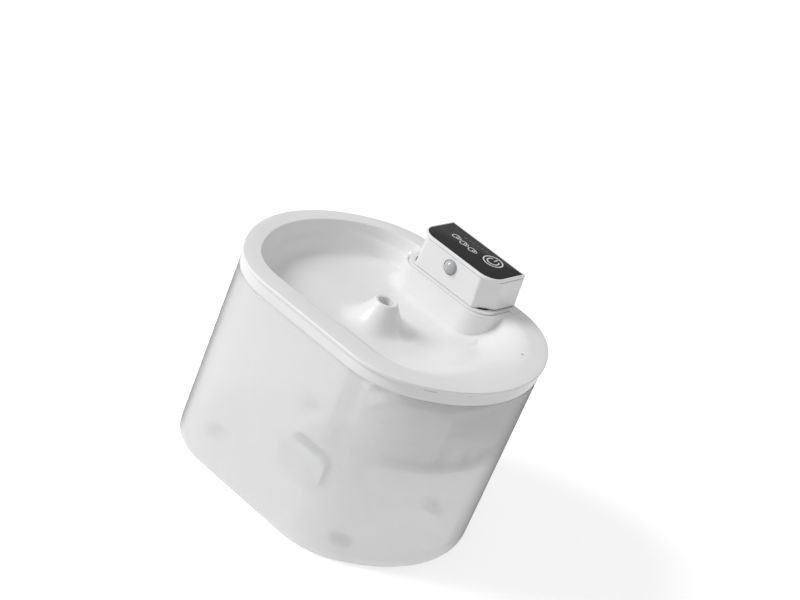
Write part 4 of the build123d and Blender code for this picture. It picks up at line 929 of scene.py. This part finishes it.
# ---------------------------------------------------------------- filter cartridge
def compartment_edge(y):
    """The outer side of the granule tray's inside, along X, at a place along Y."""
    span = abs(y)
    facet_end_y, facet_end_x, facet_x, half, outer = 34.0, 80.1, 68.1, 49.1, 85.8
    if span < facet_end_y:
        return outer - (outer - facet_end_x) * (span / facet_end_y) ** 2
    return facet_end_x - (facet_end_x - facet_x) * (span - facet_end_y) / (half - facet_end_y)


def granule_shape(shape):
    """A small ball, or a rough short rod, as points and faces about the origin."""
    work = bmesh.new()
    if shape == "bead":
        bmesh.ops.create_icosphere(work, subdivisions=1, radius=1.0)
    else:
        bmesh.ops.create_cone(work, segments=5, radius1=0.75, radius2=0.6, depth=3.2, cap_ends=True)
    points = [v.co.copy() for v in work.verts]
    work.verts.index_update()
    faces = [[v.index for v in f.verts] for f in work.faces]
    work.free()
    return points, faces


GRANULES = {shape: granule_shape(shape) for shape in ("bead", "rod")}
GRANULE_RADIUS = {"bead": 0.7, "rod": 0.56}


def add_granule(build, rng, place, radius, shape):
    points, faces = GRANULES[shape]
    spin = rng.uniform(0, tau)
    tilt = rng.uniform(-0.9, 0.9) + (pi / 2 if shape == "rod" else 0)
    turn = Matrix.Rotation(spin, 3, "Z") @ Matrix.Rotation(tilt, 3, "X")
    build.patch([Vector(place) + turn @ (p * radius) for p in points], faces)


def fill_compartment(build, low_y, high_y, seed, shape):
    """Granules heaped in a compartment, over a solid core that stops short of its outer side."""
    rng = random.Random(seed)
    rim_z, floor_z, crown, back_x, clear_strip = 111.3, 107.4, 1.1, 62.9, 6.0
    core_drop, steps_x, steps_y = 0.75, 14, 16
    count, radius = 900, GRANULE_RADIUS[shape]

    def outer_side(y):
        return compartment_edge(y) - clear_strip

    def heap(x, y):
        """The mound's height: full at the back, falling off outside."""
        u = np.clip((x - back_x) / (outer_side(y) - back_x), 0, 1)
        v = np.clip((y - low_y) / (high_y - low_y), 0, 1)
        mound = (1 - u**7) ** 0.6 * (4 * v * (1 - v)) ** 0.1
        return float(rim_z - 2.6 + (crown + 2.5) * mound)

    rows = []
    for j in range(steps_y + 1):
        y = low_y + (high_y - low_y) * j / steps_y
        edge = outer_side(y)
        across = [back_x + (edge - back_x) * i / steps_x for i in range(steps_x + 1)]
        top = [(x, y, heap(x, y) - core_drop) for x in across]
        rows.append([*top, (edge, y, floor_z), (back_x, y, floor_z)])
    build.solid(rows)
    for _ in range(count):
        y = rng.uniform(low_y - 0.5, high_y + 0.5)
        edge = outer_side(y)
        x = rng.uniform(back_x + 0.3, edge + 0.4) if rng.random() < 0.7 else edge - rng.uniform(-1.4, 1.0)
        z = min(heap(x, y) - rng.uniform(0.25, 0.95), rim_z + crown + 0.35 - radius)
        add_granule(build, rng, (x, y, z), radius * rng.uniform(0.8, 1.15), shape)


def make_media(name, node, look, shape, compartments):
    """The heaps of one kind of granule. compartments are (low Y, high Y, seed)."""
    build = Build()
    for low_y, high_y, seed in compartments:
        fill_compartment(build, low_y, high_y, seed, shape)
    build.finish(name, "cartridge", [look], [node], sharp=70, merge=0.0001)


def make_film():
    """The thin cover sheet, lying on the granules: straight at the back, curved outside."""
    low_z = node_box("filter_film")[0].z
    half, back_x, side_x, outer_x, corner = 50.5, 60.4, 77.5, 85.8, 9.0
    thick, steps_x, steps_y, area_steps = 0.25, 26, 84, 200
    sag = outer_x - side_x
    radius = (sag**2 + half**2) / (2 * sag)

    def outer_edge(y):
        edge = outer_x - radius + sqrt(max(radius**2 - y**2, 0))
        if y < -half + corner:
            edge -= corner - sqrt(max(corner**2 - (-half + corner - y) ** 2, 0))
        return edge

    build = Build()
    rows = []
    for j in range(steps_y + 1):
        y = -half + 2 * half * j / steps_y
        edge = outer_edge(y)
        top, under = [], []
        for i in range(steps_x + 1):
            x = back_x + (edge - back_x) * i / steps_x
            lift = 0.1 * (1 + sin(y / 6.5)) * sin(pi * i / steps_x) + 0.06 * (1 + sin(x / 3.1 + y / 9))
            top.append((x, y, low_z + lift + thick))
            under.append((x, y, low_z + lift))
        rows.append(top + under[::-1])
    build.solid(rows)
    film = build.finish("film_sheet", "film", ["film_white"], ["filter_film"], sharp=60)
    strip = 2 * half / area_steps
    area = sum((outer_edge(-half + strip * (k + 0.5)) - back_x) * strip for k in range(area_steps))


# ---------------------------------------------------------------- pump
def barrel_loop(half, bulge, low_z, high_z, corner, steps=10):
    """The pump's section seen along Y: flat above and below, with bulging sides."""
    middle = (low_z + high_z) / 2
    height = high_z - low_z
    radius = (bulge**2 + (height / 2) ** 2) / (2 * bulge)
    outline = []

    def side_x(z):
        return half + bulge - radius + sqrt(radius**2 - (z - middle) ** 2)

    for sign_x, sign_z, start in ((1, -1, -pi / 2), (1, 1, 0), (-1, 1, pi / 2), (-1, -1, pi)):
        centre_z = middle + sign_z * (height / 2 - corner)
        centre_x = sign_x * (side_x(centre_z) - corner)
        for k in range(steps + 1):
            angle = start + pi / 2 * k / steps
            outline.append((centre_x + corner * cos(angle), centre_z + corner * sin(angle)))
        if sign_x == sign_z:
            level = high_z if sign_z == 1 else low_z
            outline += [(x, level) for x in np.linspace(centre_x, -centre_x, 9)[1:-1]]
        else:
            heights = np.linspace(centre_z, 2 * middle - centre_z, 9)[1:-1]
            outline += [(sign_x * side_x(z), z) for z in heights]
    return outline


def make_foam():
    """The foam block between the pump and its grille, soft at its edges."""
    low, high = node_box("intake_foam")
    profile = [
        (0.6, low.y), (0.15, low.y + 0.2), (0.0, low.y + 0.7), (-0.05, (low.y + high.y) / 2),
        (0.0, high.y + 0.8), (0.15, high.y + 1.3), (0.6, high.y + 1.5),
    ]
    build = Build()
    build.solid([
        upright(barrel_loop(15.0 - inset, 1.6, low.z + inset, high.z + 0.4 - inset, 2.2), y)
        for inset, y in profile
    ])
    block = build.finish("foam_block", "intake", ["foam_black"], ["intake_foam"], sharp=60)


def make_seam():
    """A thin grey strip round the seam between the pump's two halves: painted shade of the seam's groove."""
    low, high = node_box("pump_cap")
    proud, sunk, width = 0.04, -0.5, 0.45
    near, far = high.y - width / 2, high.y + width / 2
    build = Build()
    build.loft([
        upright(barrel_loop(16.8 + rise, 2.2, low.z + 0.3, high.z - 0.3, 3.0), y)
        for rise, y in ((sunk, near), (proud, near), (proud, far), (sunk, far), (sunk, near))
    ])
    build.finish("pump_seam", "pump", ["grey_plastic"])


# ---------------------------------------------------------------- stage
def make_floor():
    """A pale floor that keeps the shadow, and shows white to the camera, in gloss and through glass."""
    mesh = bpy.data.meshes.new("floor")
    half = 6.0
    corners = [(-half, -half, 0), (half, -half, 0), (half, half, 0), (-half, half, 0)]
    mesh.from_pydata(corners, [], [(0, 1, 2, 3)])
    floor = bpy.data.objects.new("floor", mesh)
    scene.collection.objects.link(floor)
    material, tree, _ = new_material("floor_paper")
    tree.nodes.clear()
    paper = add(tree, "BsdfDiffuse", {"Color": (0.82, 0.82, 0.82, 1)}).outputs["BSDF"]
    white = add(tree, "Emission", {"Strength": 0.5}).outputs["Emission"]
    rays = add(tree, "LightPath", {}).outputs
    seen = rays["Is Camera Ray"]
    for ray in ("Is Glossy Ray", "Is Transmission Ray"):
        either = add(tree, "Math", {0: seen, 1: rays[ray]})
        either.operation = "MAXIMUM"
        seen = either.outputs["Value"]
    both = add(tree, "AddShader", {0: paper, 1: white}).outputs["Shader"]
    add(tree, "OutputMaterial", {"Surface": mix(tree, seen, paper, both)})
    mesh.materials.append(material)


def make_light():
    """Soft light from the front left and above, with an even pale world round it."""
    world = bpy.data.worlds.new("studio")
    scene.world = world
    world.use_nodes = True
    tree = world.node_tree
    pale = fill(tree, tree.nodes["Background"], {"Color": (1, 1, 1, 1), "Strength": 0.50})
    white = add(tree, "Background", {"Strength": 1.0})
    camera_ray = add(tree, "LightPath", {}).outputs["Is Camera Ray"]
    both = mix(tree, camera_ray, pale.outputs["Background"], white.outputs["Background"])
    fill(tree, tree.nodes["World Output"], {"Surface": both})

    data = bpy.data.lights.new("key", "SUN")
    data.energy = 1.9
    data.angle = radians(24)
    lamp = bpy.data.objects.new("key", data)
    lamp.rotation_mode = "QUATERNION"
    lamp.rotation_quaternion = Vector((0.58, 0.58, -0.57)).to_track_quat("-Z", "Y")
    scene.collection.objects.link(lamp)


def make_camera():
    """The photograph's view."""
    right = Vector((0.693665, 0.630278, 0.348682))
    up = Vector((-0.545240, 0.143133, 0.825970))
    forward = Vector((-0.470683, 0.763062, -0.442939))
    place = (0.661590, -1.068611, 0.753988)
    data = bpy.data.cameras.new("camera")
    data.sensor_width = 36
    data.lens = 103.21
    data.clip_start, data.clip_end = 0.05, 50
    camera = bpy.data.objects.new("camera", data)
    turn = Matrix((right, up, -forward)).transposed().to_4x4()
    camera.matrix_world = Matrix.Translation(place) @ turn
    scene.collection.objects.link(camera)
    scene.camera = camera


make_camera()
make_floor()
make_light()
make_tank()
make_dish()
make_head_shell()
make_panel()
make_lens()
make_foam()
make_seam()

DIVIDER_GAP, RESIN_START, CARBON_END, TRAY_END = 0.9, 27.9, 26.1, 49.0
resin_spans = [(-TRAY_END, -RESIN_START, 3), (RESIN_START, TRAY_END, 5)]
carbon_spans = [(-CARBON_END, -DIVIDER_GAP, 7), (DIVIDER_GAP, CARBON_END, 9)]
make_media("resin_beads", "resin_media", "resin_orange", "bead", resin_spans)
make_media("carbon_rods", "carbon_media", "carbon_black", "rod", carbon_spans)
make_film()
